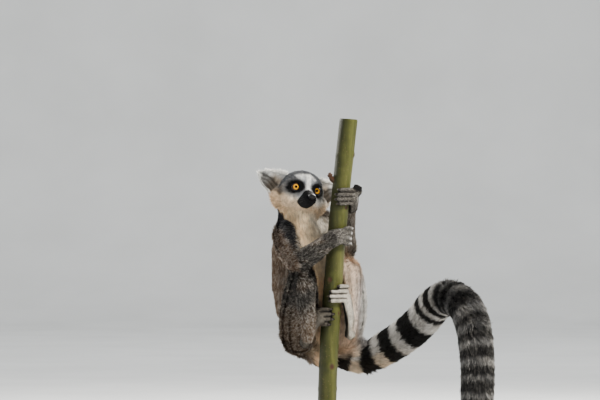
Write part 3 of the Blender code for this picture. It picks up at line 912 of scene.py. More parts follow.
def tail_colours(points, normals):
    """Black and white rings that turn greyer towards a black tip; the grey of the hanging part is painted
    shade.
    """
    run = TAIL_RUN[tail_spots(points)]
    run = run + 6.0 + waves(points, 0.012, 21) * 1.3
    black = np.zeros(len(run))
    for start, end in TAIL_RINGS:
        wide, soft = (2.0, 4.0) if start > FAR_RINGS else (0.0, 2.2)
        start, end = start - wide, end + wide
        ring = step(run, start - soft, start + soft) * step(-run, -end - soft, -end + soft)
        black = np.maximum(black, ring)
    # Painted shade: beyond about 290 mm the hanging part's white rings are painted grey and its black rings
    # a little lighter.
    far = step(run, 270, 310)
    return paint(
        plain(TAIL_WHITE, points),
        ((0.20, 0.195, 0.19), far),
        (PALE_GREY, far * step(waves(points, 0.03, 23), -0.1, 0.7) * 0.5),
        (CREAM, step(-normals[:, 2], -0.1, 0.6) * step(-run, -180, -120) * 0.6),
        ((0.42, 0.34, 0.26), step(-run, -60, -30)),
        (BLACK, black * (0.97 - 0.12 * far)),
    )


def grip_colours(points, normals, fur, rim):
    """Mottled short fur with painted rim light: a paler rim on the side turned from the body, which faces
    +X.
    """
    mottle = step(waves(points, 0.008, 31), 0.0, 0.8) * 0.6
    # Painted rim light: white on the side that faces +X.
    pale = step(normals[:, 0], 0.86, 0.98) * rim
    return paint(plain(fur, points), (np.array(fur) * 0.5, mottle), (WHITE, pale))


def groove(points):
    """How deep each point lies in the cleft between two neighbouring digits."""
    centre, _ = perch_at(points[:, 2])
    away = points - centre
    bearing = np.degrees(np.arctan2(away[:, 1], away[:, 0]))
    depth = np.zeros(len(points))
    for grip, tips in DIGIT_TIPS.items():
        for (high, a), (low, b) in zip(tips, tips[1:]):
            behind = (((a + b) / 2 - bearing) * GRIP_WAY[grip] + 180) % 360 - 180
            run = step(behind, -30, -12) * step(-behind, -DIGIT_RUN[grip] - 10, -DIGIT_RUN[grip] + 6)
            gap = (points[:, 2] / MM - (high + low) / 2) / 1.35
            depth = np.maximum(depth, run * np.exp(-(gap**2)))
    return depth * digit_part(points, 0.0125)


def digit_part(points, inner=0.0120):
    """1 on the digits round the perch, 0 on the palms."""
    centre, radius = perch_at(points[:, 2])
    away = np.linalg.norm((points - centre) * (1, 1, 0), axis=1) - radius
    return step(-away, -0.0150, -inner)


def digit_ends(points):
    """How much each point lies on the bare pad at a digit's end."""
    tips = [np.array(t) * MM for t in THUMB_TIPS]
    for grip, places in DIGIT_TIPS.items():
        for height, bearing in places:
            centre, radius = perch_at(height * MM)
            tips.append(centre + level_way(bearing + GRIP_WAY[grip] * 6) * (radius + DIGIT_CLEAR))
    gap = np.min([np.linalg.norm(points - t, axis=1) for t in tips], axis=0)
    return step(-gap, -PAD_EDGE, -PAD_RADIUS)


def markings(surface, shares, normals, even):
    """The colour of every point, shared by skin and coat, and how bare it is."""
    points = surface.points
    axis, _ = perch_at(points[:, 2])
    body = body_colours(points)
    total = np.zeros((len(points), 3))
    for index, name in enumerate(FLESH):
        here = shares[:, index] > 0.01
        at, facing = points[here], normals[here]
        kind = kind_of(name)
        if kind == "head":
            colours = head_colours(at)
        elif kind == "ear":
            colours = ear_colours(at, even[here])
        elif kind in BODY_WAYS:
            colours = body[here]
        elif kind == "tail":
            colours = tail_colours(at, facing)
        elif name in GRIP_FUR:
            colours = grip_colours(at, facing, *GRIP_FUR[name])
        else:
            colours = limb_colours(name, at, facing, axis[here], body[here])
        total[here] += colours * shares[here, index][:, None]
    grips = belongs(shares, *GRIP_WAY)
    bare = np.maximum(grip_side(points, normals), digit_ends(points)) * grips
    # Painted shade: the creases and the clefts between the digits of the hands and feet are darkened.
    dip = np.einsum("nd,nd->n", surface.spread(points, 5) - points, normals) / MM
    painted_crease_shade = np.maximum(step(dip, 0.05, 0.35), groove(points)) * grips
    return paint(total, ((0.02, 0.018, 0.016), painted_crease_shade * 0.9), (BARE, bare)), bare


def dress(surface, shares):
    """Stores on the skin all that the coat needs to know."""
    points, normals = surface.points, surface.normals()
    even = unit(surface.spread(normals, 10))
    colours, bare = markings(surface, shares, normals, even)
    ways = surface.spread(laid_flat(node_ways(points, shares), normals), 6)
    head, ears, grips = belongs(shares, "head"), belongs(shares, *EARS), belongs(shares, *GRIP_WAY)
    place = to_head(points)
    _, y, z = place.T
    depth = np.maximum(coat_depth(surface, shares) / MM, 2.4 * head * step(z, 8, 20))
    snout = step(y, -8, 10)
    ruff = step(-y, 10, 34) * step(-z, 0, 22)
    far, wide = ear_place(points)
    inside = ears * step((even @ HEAD_AXES)[:, 1], 0.0, 0.3) * step(-np.abs(wide + 0.15), -0.85, -0.60)
    lengths = coat_numbers(shares, 1) + head * (ruff * 5.0 - snout * 3.8)
    lengths = lengths + ears * (step(far, 0.6, 1.0) * 4 + step(wide, 0.2, 0.8) * 4) - inside * 5.6
    lengths = lengths * (1 - 0.35 * grips * digit_part(points))
    widths = coat_numbers(shares, 2) * (1 - 0.3 * head * snout)
    nose_gap = np.linalg.norm(place - head_place(box_middle("nose")), axis=1)
    lids = np.min([np.linalg.norm(place - head_place(EYES[s]), axis=1) for s in SIDES], axis=0)
    crowd = np.clip(1 - bare * 1.4, 0, 1) * step(nose_gap, 5, 8) * step(lids, EYE_RADIUS / MM + 0.4, 9.2)
    crowd = crowd * (1 + 0.35 * ears - 0.45 * inside)
    crowd = crowd * (1 - 0.85 * groove(points) * grips)
    tail_end = belongs(shares, "tail_4", "tail_5", "tail_6")
    grizzle = belongs(shares, *(n for n in FLESH if kind_of(n) in GRIZZLED))
    grizzle = np.maximum(grizzle, belongs(shares, "trunk") * 0.6)
    grizzle = grizzle * (1 - 0.7 * belongs(shares, *PALE_LEG)) * step(colours.mean(axis=1), 0.012, 0.05)
    grizzle = np.maximum(grizzle, 0.24 * tail_end)
    stored = {
        "tint": ("FLOAT_COLOR", np.c_[np.clip(colours, 0, 1), np.ones(len(colours))]),
        "lie": ("FLOAT_VECTOR", laid_flat(ways, normals)),
        "outward": ("FLOAT_VECTOR", normals),
        "size": ("FLOAT_VECTOR", np.c_[widths, depth / TUFT_RISE, lengths] * MM),
        "crowd": ("FLOAT", crowd),
        "grizzle": ("FLOAT", np.clip(grizzle, 0, 1)),
        "bare": ("FLOAT", bare),
        "ruffle": ("FLOAT", coat_numbers(shares, 3) + 0.05 * tail_end),
    }
    for name, (kind, values) in stored.items():
        set_attribute(surface.mesh, name, kind, values)


def unwrap(obj, name):
    """Unwraps the object's own shape into a map of the given name."""
    obj.data.uv_layers.new(name=name)
    bpy.context.view_layer.objects.active = obj
    for other in bpy.context.selected_objects:
        other.select_set(False)
    obj.select_set(True)
    bpy.ops.object.mode_set(mode="EDIT")
    bpy.ops.mesh.select_all(action="SELECT")
    bpy.ops.uv.smart_project(angle_limit=math.radians(66), island_margin=0.001)
    bpy.ops.object.mode_set(mode="OBJECT")


def build_skin():
    """The one skin, and for each of its points the nearest flesh node."""
    skin = fused_flesh()
    surface = Surface(skin.data)
    nearest, shares = node_shares(surface)
    ears, grips = belongs(shares, *EARS), belongs(shares, *GRIP_WAY)
    tail = belongs(shares, *(n for n in FLESH if kind_of(n) == "tail"))
    face = belongs(shares, "head") * step(to_head(surface.points)[:, 1], -20, -8)
    sink(surface, coat_depth(surface, shares), grips, ears, tail)
    fill_creases(surface, np.clip(1 - ears - grips - face - tail, 0, 1))
    cleft = groove(surface.points) * grips * CLEFT_DEPTH
    surface.points = surface.points - surface.normals() * cleft[:, None]
    draw_in_ears(surface, ears)
    shape_face(surface)
    surface.write()
    dress(surface, shares)
    return skin, nearest


def thin_skin(skin):
    """Thins the finished skin below its limit, but not on the face, the hands and the feet."""
    old = mesh_points(skin.data)
    tint = read(skin.data.attributes["tint"].data, "color", 4)
    bare = read(skin.data.attributes["bare"].data, "value")
    place = to_head(old)
    fine = [(np.linalg.norm(place - (0, 8, -8), axis=1) < 38) & (place[:, 1] > -12)]
    for name in GRIP_WAY:
        low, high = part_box(name)
        fine.append(np.all((old > np.array(low)) & (old < np.array(high)), axis=1))
    coarse = skin.vertex_groups.new(name="coarse")
    coarse.add(np.flatnonzero(~np.any(fine, axis=0)).tolist(), 1.0, "REPLACE")
    thin = skin.modifiers.new("thin", "DECIMATE")
    thin.ratio = min(1.0, SKIN_TRIANGLES / (2 * len(skin.data.polygons)))
    thin.vertex_group = "coarse"
    mesh = settle(skin)
    skin.vertex_groups.clear()
    nearest = nearest_rows(old, mesh_points(mesh))
    for spare in [a.name for a in mesh.attributes if not a.is_required and not a.name.startswith(".")]:
        mesh.attributes.remove(mesh.attributes[spare])
    set_attribute(mesh, "tint", "FLOAT_COLOR", tint[nearest])
    set_attribute(mesh, "bare", "FLOAT", bare[nearest])
    return mesh


# ---------------------------------------------------------------- coat
def tuft_mesh(index, material):
    """A few hairs from one root. X is across, Y away from the skin and Z along the lie."""
    rng = np.random.default_rng(SEED + index)
    points, faces, along, patch = [], [], [], []
    for hair in range(HAIRS_PER_TUFT):
        root_x, root_z = rng.uniform(-1.3, 1.3), rng.uniform(-0.10, 0.10)
        lean, reach = rng.uniform(-1.5, 1.5), rng.uniform(0.74, 1.06)
        rise, twist = rng.uniform(0.78, 1.04), rng.uniform(-0.25, 0.25)
        start = len(points)
        for t, half in ((0.0, 0.0), (0.42, 0.42), (1.0, 0.0)):
            x = root_x + lean * t * t
            y = rise * (1.42 * t - 0.62 * t * t) - 0.08
            z = root_z + reach * t * (0.86 + 0.14 * t)
            for sign in ((-1, 1) if half else (0,)):
                points.append((x + sign * half, y + sign * twist * half, z))
                along.append(t)
                patch.append((0.5 + sign * 0.10 + (hair - 1.5) * 0.24, t, 0))
        faces += [(start, start + 2, start + 1), (start + 1, start + 2, start + 3)]
    mesh = mesh_from(f"tuft_{index}", points, faces)
    set_attribute(mesh, "along", "FLOAT", along)
    set_attribute(mesh, "patch", "FLOAT_VECTOR", patch)
    mesh.materials.append(material)
    return mesh


def tuft_collection(material):
    group = bpy.data.collections.new("tufts")
    for index in range(TUFT_SHAPES):
        group.objects.link(bpy.data.objects.new(f"tuft_{index}", tuft_mesh(index, material)))
    return group


def coat_tree(tufts, material):
    """Scatters tufts over a patch of skin, turned and sized by what is stored on it."""
    tree = bpy.data.node_groups.new("coat", "GeometryNodeTree")
    kinds = {"Skin": "Geometry", "Density": "Float", "Seed": "Int", "Patch": "Float", "Clumps": "Float"}
    for name, kind in kinds.items():
        tree.interface.new_socket(name, in_out="INPUT", socket_type=f"NodeSocket{kind}")
    tree.interface.new_socket("Coat", in_out="OUTPUT", socket_type="NodeSocketGeometry")
    given = tree.nodes.new("NodeGroupInput").outputs

    def stored(name, kind="FLOAT_VECTOR"):
        node = add(tree, "GeometryNodeInputNamedAttribute", {"Name": name}, data_type=kind)
        return socket(node.outputs, "Attribute")

    def chance(kind, low, high, seed):
        inputs = {"Min": low, "Max": high, "Seed": seed}
        return socket(add(tree, "FunctionNodeRandomValue", inputs, data_type=kind).outputs, "Value")

    def vector(operation, first, second):
        inputs = {0: first, "Scale" if operation == "SCALE" else 1: second}
        return add(tree, "ShaderNodeVectorMath", inputs, operation=operation).outputs[0]

    def store(geometry, name, value, kind, domain):
        inputs = {"Geometry": geometry, "Name": name, "Value": value}
        settings = {"data_type": kind, "domain": domain}
        return add(tree, "GeometryNodeStoreNamedAttribute", inputs, **settings).outputs[0]

    density = math_node(tree, "MULTIPLY", given["Density"], stored("crowd", "FLOAT"))
    scatter = {"Mesh": given["Skin"], "Density": density, "Seed": given["Seed"]}
    points = add(tree, "GeometryNodeDistributePointsOnFaces", scatter, distribute_method="RANDOM")
    place = add(tree, "GeometryNodeInputPosition").outputs[0]
    clumps = {"Vector": place, "Scale": given["Clumps"], "Detail": 1.5}
    clump = add(tree, "ShaderNodeTexNoise", clumps).outputs
    tone = math_node(tree, "MULTIPLY_ADD", clump["Fac"], 1.5, -0.25)
    tone = math_node(tree, "MULTIPLY", tone, CLUMP_SHADE)
    tone = math_node(tree, "ADD", tone, chance("FLOAT", 0.0, TUFT_SHADE, 1))
    points = store(points.outputs["Points"], "shade", tone, "FLOAT", "POINT")
    lean = vector("SCALE", vector("SUBTRACT", clump["Color"], (0.5, 0.5, 0.5)), CLUMP_LEAN)
    sway = vector("ADD", lean, chance("FLOAT_VECTOR", (-TUFT_LEAN,) * 3, (TUFT_LEAN,) * 3, 2))
    rise = vector("PROJECT", sway, stored("outward"))
    sway = vector("SUBTRACT", sway, vector("SCALE", rise, 0.75))
    lie = vector("ADD", stored("lie"), vector("SCALE", sway, stored("ruffle", "FLOAT")))
    turn = {"Primary Axis": lie, "Secondary Axis": stored("outward")}
    rotation = add(tree, "FunctionNodeAxesToRotation", turn, primary_axis="Z", secondary_axis="Y").outputs[0]
    choice = {"Collection": tufts, "Separate Children": True, "Reset Children": True}
    placed = {
        "Points": points, "Pick Instance": True, "Rotation": rotation,
        "Instance": add(tree, "GeometryNodeCollectionInfo", choice).outputs[0],
        "Instance Index": chance("INT", 0, TUFT_SHAPES - 1, 4),
        "Scale": vector("SCALE", stored("size"), chance("FLOAT", 0.80, 1.10, 3)),
    }
    instances = add(tree, "GeometryNodeInstanceOnPoints", placed).outputs[0]
    real = add(tree, "GeometryNodeRealizeInstances", {0: instances}).outputs[0]
    within = vector("SCALE", vector("SUBTRACT", stored("patch"), (0.5, 0.5, 0)), given["Patch"])
    place = vector("ADD", stored("unwrap"), within)
    mapped = store(real, "OFBake", place, "FLOAT2", "CORNER")
    done = add(tree, "GeometryNodeSetMaterial", {"Geometry": mapped, "Material": material}).outputs[0]
    tree.links.new(done, tree.nodes.new("NodeGroupOutput").inputs[0])
    return tree


def skin_patch(skin, nearest, names):
    """The part of the skin that belongs to the named nodes, as its own unwrapped mesh."""
    wanted = np.isin(nearest, [FLESH.index(n) for n in names])
    build = bmesh.new()
    build.from_mesh(skin.data)
    build.verts.ensure_lookup_table()
    away = [f for f in build.faces if not wanted[f.verts[0].index]]
    bmesh.ops.delete(build, geom=away, context="FACES")
    mesh = bpy.data.meshes.new("patch")
    build.to_mesh(mesh)
    build.free()
    obj = link(bpy.data.objects.new("patch", mesh))
    unwrap(obj, "unwrap")
    return obj


def effective_area(mesh):
    """The mesh's area in square metres, counting sparse places for less."""
    crowd = read(mesh.attributes["crowd"].data, "value")
    first = [p.vertices[0] for p in mesh.polygons]
    return float((read(mesh.polygons, "area") * crowd[first]).sum())


def build_coat(skin, nearest, material):
    tufts = tuft_collection(material)
    tree = coat_tree(tufts, material)
    keys = {item.name: item.identifier for item in tree.interface.items_tree if item.in_out == "INPUT"}
    for index, (name, (nodes, count, slot)) in enumerate(PIECES.items()):
        patch = skin_patch(skin, nearest, nodes)
        grow = patch.modifiers.new("coat", "NODES")
        grow.node_group = tree
        grow[keys["Density"]] = count * 1.0 / effective_area(patch.data)
        grow[keys["Seed"]] = SEED + index
        grow[keys["Patch"]] = TUFT_PATCH
        grow[keys["Clumps"]] = CLUMPS[kind_of(nodes[0])]
        mesh = settle(patch)
        bpy.data.objects.remove(patch, do_unlink=True)
        for spare in ("lie", "outward", "size", "crowd", "ruffle", "patch", "unwrap", "bare"):
            if mesh.attributes.get(spare):
                mesh.attributes.remove(mesh.attributes[spare])
        mesh.name = name
        piece(name, mesh, [material]).data.shade_smooth()
    for obj in list(tufts.objects):
        bpy.data.objects.remove(obj, do_unlink=True)
    bpy.data.collections.remove(tufts)


# ---------------------------------------------------------------- fur and skin finishes
def fleck_group():
    """Uneven light and dark over a colour, from the object's own place."""
    number = "NodeSocketFloat"
    inputs = {"Colour": ("NodeSocketColor", None), "Scale": (number, 200.0), "Amount": (number, 0.3)}
    tree, given, out = new_group("flecks", inputs, {"Colour": "NodeSocketColor", "Height": number})
    height = noise(tree, object_place(tree), given["Scale"], 4.0, 0.65)
    span = {"Value": height, "From Min": 0.25, "From Max": 0.75}
    span["To Min"] = math_node(tree, "SUBTRACT", 1.0, given["Amount"])
    span["To Max"] = math_node(tree, "ADD", 1.0, given["Amount"])
    factor = add(tree, "ShaderNodeMapRange", span).outputs[0]
    scaled = add(tree, "ShaderNodeVectorMath", {0: given["Colour"], "Scale": factor}, operation="SCALE")
    tree.links.new(scaled.outputs[0], out["Colour"])
    tree.links.new(height, out["Height"])
    return tree


def flecked(tree, group, colour, scale, amount):
    inputs = {"Colour": colour, "Scale": scale, "Amount": amount}
    node = add(tree, "ShaderNodeGroup", node_tree=group)
    fill(tree, node, inputs)
    return node.outputs["Colour"], node.outputs["Height"]


def coat_material(flecks):
    """Hair with painted shade at the root and painted light at the tip, uneven from tuft to tuft, with pale
    tips where it is grizzled.
    """
    material, tree, shader = new_material("coat_hair", Roughness=0.66, Specular_IOR_Level=0.16)
    colour, _ = flecked(tree, flecks, attribute(tree, "tint", "Color"), 95.0, 0.22)
    along, shade = attribute(tree, "along"), attribute(tree, "shade")
    # Painted shade deep in the coat and painted light at the tips: each hair darker towards its root and
    # lighter towards its tip.
    colour = tinted(tree, colour, ramp(tree, along, (0.0, 0.58), (0.45, 0.95), (1.0, 1.12)))
    colour = tinted(tree, colour, ramp(tree, shade, (0.1, 0.62), (0.5, 1.0), (0.9, 1.25)))
    tips = ramp(tree, along, (0.45, 0.0), (0.9, 1.0))
    tips = math_node(tree, "MULTIPLY", tips, attribute(tree, "grizzle"))
    tips = math_node(tree, "MULTIPLY", tips, ramp(tree, shade, (0.55, 0.0), (0.66, 0.80)))
    feed(tree, shader, Base_Color=mix(tree, tips, colour, (0.58, 0.54, 0.48, 1)))
    return material


def skin_material(flecks):
    """Short underfur and skin: the coat's colour, darker, with fine bumps; smooth where it is bare."""
    material, tree, shader = new_material("skin_underfur", Specular_IOR_Level=0.12)
    colour, height = flecked(tree, flecks, attribute(tree, "tint", "Color"), 420.0, 0.35)
    colour = tinted(tree, colour, (0.72, 0.70, 0.68, 1))
    rough = ramp(tree, attribute(tree, "bare"), (0.0, 0.85), (1.0, 0.45))
    feed(tree, shader, Base_Color=colour, Roughness=rough, Normal=bump(tree, height, 0.6, 0.0008))
    return material


def bare_material(name, colour, rough, grain):
    """Bare black skin with a fine pebbled grain."""
    material, tree, shader = new_material(name, Specular_IOR_Level=0.45)
    cells = voronoi(tree, object_place(tree), grain)
    tone = ramp(tree, cells, (0.0, tuple(c * 1.6 for c in colour)), (0.7, colour))
    rough = ramp(tree, cells, (0.0, rough), (0.8, rough + 0.2))
    feed(tree, shader, Base_Color=tone, Roughness=rough, Normal=bump(tree, cells, 0.35, 0.0004))
    return material


def eye_material():
    """Amber iris with darker rays and rim, a black pupil, and the dark brown of the eye round it."""
    material, tree, shader = new_material("eyeball", Roughness=0.12, Specular_IOR_Level=0.22)
    off = attribute(tree, "off_axis")
    rays = noise(tree, attribute(tree, "iris_place", "Vector"), 5.0, 4.0, 0.7)
    inner, outer = (0.28, (0.38, 0.14, 0.004)), (0.65, (0.22, 0.06, 0.002))
    iris = ramp(tree, off, inner, (0.36, (0.66, 0.33, 0.006)), (0.54, (0.62, 0.25, 0.004)), outer)
    iris = mix(tree, 0.75, iris, ramp(tree, rays, (0.3, 0.45), (0.6, 1.15)), "MULTIPLY")
    colour = mix(tree, ramp(tree, off, (0.64, 0.0), (0.68, 1.0)), iris, (0.02, 0.01, 0.006, 1))
    colour = mix(tree, ramp(tree, off, (0.27, 1.0), (0.30, 0.0)), colour, (0.002, 0.002, 0.002, 1))
    feed(tree, shader, Base_Color=colour)
    return material


# ---------------------------------------------------------------- face pieces
def ball_way(polar, around):
    return Vector((math.sin(polar) * math.cos(around), math.sin(polar) * math.sin(around), math.cos(polar)))


def eye_turn(way):
    """The turn that brings Z to a way given in the head's own frame."""
    return (HEAD.to_3x3() @ way).normalized().to_track_quat("Z", "Y").to_matrix()


def build_eyes(material, lid_material):
    """Two eyeballs with bulging corneas, and the lid rims round them."""
    rows, columns = 40, 48
    for side in SIDES:
        turn = eye_turn(looking(GAZE_TURN))
        points, off_axis, place = [], [], []
        for i in range(rows):
            polar = math.pi * i / (rows - 1)
            bulge = max(0.0, 1 - (math.sin(polar) / CORNEA_HALF) ** 2) ** 1.2
            cornea = 1 + CORNEA_RISE * bulge * (math.cos(polar) > 0)
            for j in range(columns if 0 < i < rows - 1 else 1):
                around = 2 * math.pi * j / columns
                points.append(EYES[side] + turn @ ball_way(polar, around) * EYE_RADIUS * cornea)
                off_axis.append(math.sin(polar) if polar < math.pi / 2 else 1.0)
                place.append((math.cos(around) * 2.2, math.sin(around) * 2.2, math.sin(polar) * 0.5))
        mesh = outward(mesh_from(f"eyeball_{side}", points, ball_faces(rows, columns)))
        set_attribute(mesh, "off_axis", "FLOAT", off_axis)
        set_attribute(mesh, "iris_place", "FLOAT_VECTOR", place)
        piece(f"eyeball_{side}", mesh, [material], (f"eye_{side}",))
        build_lids(side, eye_turn(opening(side)), lid_material)


def build_lids(side, turn, material):
    """A soft rim of black skin along the edge of the eye's opening, a little almond in shape."""
    rows, columns = 44, 10
    points = []
    for i in range(rows):
        around = 2 * math.pi * i / rows
        polar = EYE_OPENING + math.radians(3.0) - 0.07 * math.sin(around) ** 2 + 0.03 * math.cos(around) ** 4
        way = ball_way(polar, around)
        rise = math.cos(polar)
        back = Vector((rise * math.cos(around), rise * math.sin(around), -math.sin(polar)))
        for j in range(columns):
            turn_j = 2 * math.pi * j / columns
            spot = way * (EYE_RADIUS + LID_CLEAR + LID_WIDTH * 0.62 * math.cos(turn_j))
            spot += back * LID_WIDTH * (0.8 + math.sin(turn_j))
            points.append(EYES[side] + turn @ spot)
    faces = grid_faces(rows, columns, True)
    last = (rows - 1) * columns
    for j in range(columns):
        right = (j + 1) % columns
        faces.append((last + j, last + right, right, j))
    piece(f"lids_{side}", outward(mesh_from(f"lids_{side}", points, faces)), [material])


def build_nose(material):
    """The nose pad with its comma-shaped nostrils and the groove between them."""
    rows, columns = 44, 56
    polar = np.linspace(0, math.pi, rows)[:, None]
    around = np.linspace(0, 2 * math.pi, columns, endpoint=False)[None, :]
    way = [np.sin(polar) * np.cos(around), np.cos(polar) + 0 * around, np.sin(polar) * np.sin(around)]
    way = np.stack(way, -1).reshape(-1, 3)
    x, y, z = way.T
    shape = way * np.array(NOSE_HALF)
    shape[:, 0] *= 1 - 0.22 * step(-z, 0.1, 0.9)
    for side in (-1, 1):
        gap = np.hypot((x - side * 0.52) / 0.20, (z + 0.08 + 0.5 * (np.abs(x) - 0.52)) / 0.17)
        hole = step(-gap, -1.25, -0.4) * step(y, 0.1, 0.4)
        shape -= way * (hole * 2.4)[:, None]
        wing = np.exp(-(((x - side * 0.72) / 0.2) ** 2 + ((z - 0.12) / 0.3) ** 2))
        shape += way * (wing * 0.7 * (y > 0))[:, None]
    cleft = np.exp(-((x / 0.07) ** 2)) * step(y, 0.2, 0.6) * step(-z, -0.45, 0.1)
    shape -= way * (cleft * 0.8)[:, None]
    points = from_head(shape + head_place(box_middle("nose")) - np.array([0, 0.8, 0]))
    points = points[np.r_[0, np.arange(columns, (rows - 1) * columns + 1)]]
    mesh = outward(mesh_from("nose_pad", points, ball_faces(rows, columns)))
    piece("nose_pad", mesh, [material], ("nose",))


def tube(route, radii, sides):
    """Points and faces of a closed tube along a route."""
    route = np.asarray(route, dtype=float)
    along = unit(np.gradient(route, axis=0))
    side = unit(np.cross(along, (0.31, 0.22, 0.92)))
    over = np.cross(along, side)
    turns = 2 * math.pi * np.arange(sides) / sides
    ring = side[:, None] * np.cos(turns)[None, :, None] + over[:, None] * np.sin(turns)[None, :, None]
    points = route[:, None] + ring * np.asarray(radii)[:, None, None]
    faces = grid_faces(len(route), sides, True)
    last = (len(route) - 1) * sides
    faces += [tuple(reversed(range(sides))), tuple(range(last, last + sides))]
    return points.reshape(-1, 3), faces


def joined(name, parts):
    """One mesh of all the parts' points and faces."""
    points, faces, start = [], [], 0
    for some_points, some_faces in parts:
        points.extend(some_points)
        faces.extend(tuple(i + start for i in face) for face in some_faces)
        start += len(some_points)
    return outward(mesh_from(name, points, faces))


def build_whiskers(material):
    """Thin bristles on both sides of the snout."""
    rng = np.random.default_rng(SEED)
    parts = []
    for side in (-1, 1):
        for row in range(3):
            for k in range(3):
                root = np.array([side * (9.0 - 1.2 * row * 0.3), 20.0 + 4.5 * k, -17.0 - 3.0 * row])
                way = np.array([side * 1.0, -0.35 - 0.15 * k, -0.25 - 0.22 * row])
                way = unit(way + rng.normal(0, 0.08, 3))
                length = rng.uniform(16, 26)
                t = np.linspace(0, 1, 7)[:, None]
                route = root + way * length * t + np.array([0, -5.0, -4.0]) * t**2
                parts.append(tube(from_head(route), 0.00014 * (1.05 - t[:, 0]), 4))
    piece("whiskers", joined("whiskers", parts), [material])


def nail_faces():
    """Faces of one nail: its top, its underside and the edge between them."""
    top = grid_faces(NAIL_STEPS, NAIL_STEPS, False)
    back = NAIL_STEPS**2
    faces = [tuple(back + i for i in f) for f in top] + [tuple(reversed(f)) for f in top]
    side = np.arange(back).reshape(NAIL_STEPS, NAIL_STEPS)
    rim = [*side[0], *side[1:, -1], *side[-1, -2::-1], *side[-2:0:-1, 0]]
    for a, b in zip(rim, rim[1:] + rim[:1]):
        faces.append((a, b, back + b, back + a))
    return faces


def build_nails(material):
    """A small flat nail over each digit's tip."""
    steps = [i / (NAIL_STEPS - 1) for i in range(NAIL_STEPS)]
    faces = nail_faces()
    parts = []
    for grip, tips in DIGIT_TIPS.items():
        for height, bearing in tips:
            centre, radius = perch_at(height * MM)
            radial = level_way(bearing)
            ahead = np.cross((0, 0, 1), radial) * GRIP_WAY[grip]
            middle = centre + radial * (radius + DIGIT_CLEAR)
            points = []
            for lift, u, t in itertools.product((0.0, NAIL_THICK), steps, steps):
                v = 2 * t - 1
                run = -0.0034 + NAIL_LENGTH * u
                wide = NAIL_HALF * v * (1 - 0.45 * u * u)
                rise = DIGIT_RADIUS * 0.90 - 0.0010 * v * v - 0.0022 * u * u + lift
                points.append(middle + ahead * run + np.array([0, 0, 1]) * wide + radial * rise)
            parts.append((points, faces))
    piece("nails", joined("nails", parts), [material])


# ---------------------------------------------------------------- perch and stand
def bark_material(flecks):
    """Smooth olive-green bark with long streaks, small pores and brown scars at the knots, and painted
    shade: darker on the side that faces -X, lighter on the side that faces +X.
    """
    material, tree, shader = new_material("bark_skin", Specular_IOR_Level=0.35)
    streaks = noise(tree, object_place(tree, (130, 130, 11)), 1.0, 5.0, 0.6)
    dark, pale = (0.28, (0.036, 0.040, 0.009)), (0.75, (0.105, 0.106, 0.028))
    colour = ramp(tree, streaks, dark, (0.5, (0.060, 0.064, 0.014)), pale)
    patches = noise(tree, object_place(tree, (22, 22, 7)), 1.0, 3.0, 0.5)
    colour = mix(tree, ramp(tree, patches, (0.55, 0.0), (0.8, 0.45)), colour, (0.16, 0.15, 0.07, 1))
    # Painted light and shade: the bark is lighter on the side that faces +X and darker on the side that
    # faces -X.
    colour = tinted(tree, colour, ramp(tree, attribute(tree, "weather"), (0.1, 1.15), (0.9, 0.40)))
    pores = voronoi(tree, object_place(tree, (150, 150, 240)), 1.0)
    spots = math_node(tree, "MULTIPLY", ramp(tree, pores, (0.10, 1.0), (0.17, 0.0)), 0.6)
    colour = mix(tree, spots, colour, (0.16, 0.11, 0.06, 1))
    scar = ramp(tree, attribute(tree, "scar"), (0.25, 0.0), (0.7, 1.0))
    colour = mix(tree, scar, colour, (0.055, 0.026, 0.014, 1))
    colour, fine = flecked(tree, flecks, colour, 300.0, 0.18)
    height = math_node(tree, "MULTIPLY", streaks, 0.6)
    height = math_node(tree, "ADD", height, math_node(tree, "MULTIPLY", fine, 0.4))
    feed(tree, shader, Base_Color=colour, Roughness=ramp(tree, fine, (0.3, 0.5), (0.7, 0.72)))
    feed(tree, shader, Normal=bump(tree, height, 0.5, 0.0009))
    return material


def cut_wood_material(flecks):
    """Pale sawn wood with growth rings."""
    material, tree, shader = new_material("cut_wood", Roughness=0.75)
    reach = math_node(tree, "MULTIPLY", attribute(tree, "ring"), 34.0)
    wobble = math_node(tree, "MULTIPLY", noise(tree, object_place(tree), 120.0, 3.0), 4.0)
    rings = math_node(tree, "SINE", math_node(tree, "ADD", reach, wobble))
    rings = math_node(tree, "MULTIPLY_ADD", rings, 0.5, 0.5)
    colour = ramp(tree, rings, (0.2, (0.42, 0.28, 0.14)), (0.8, (0.66, 0.50, 0.30)))
    colour, fine = flecked(tree, flecks, colour, 500.0, 0.15)
    feed(tree, shader, Base_Color=colour, Normal=bump(tree, fine, 0.3, 0.0004))
    return material


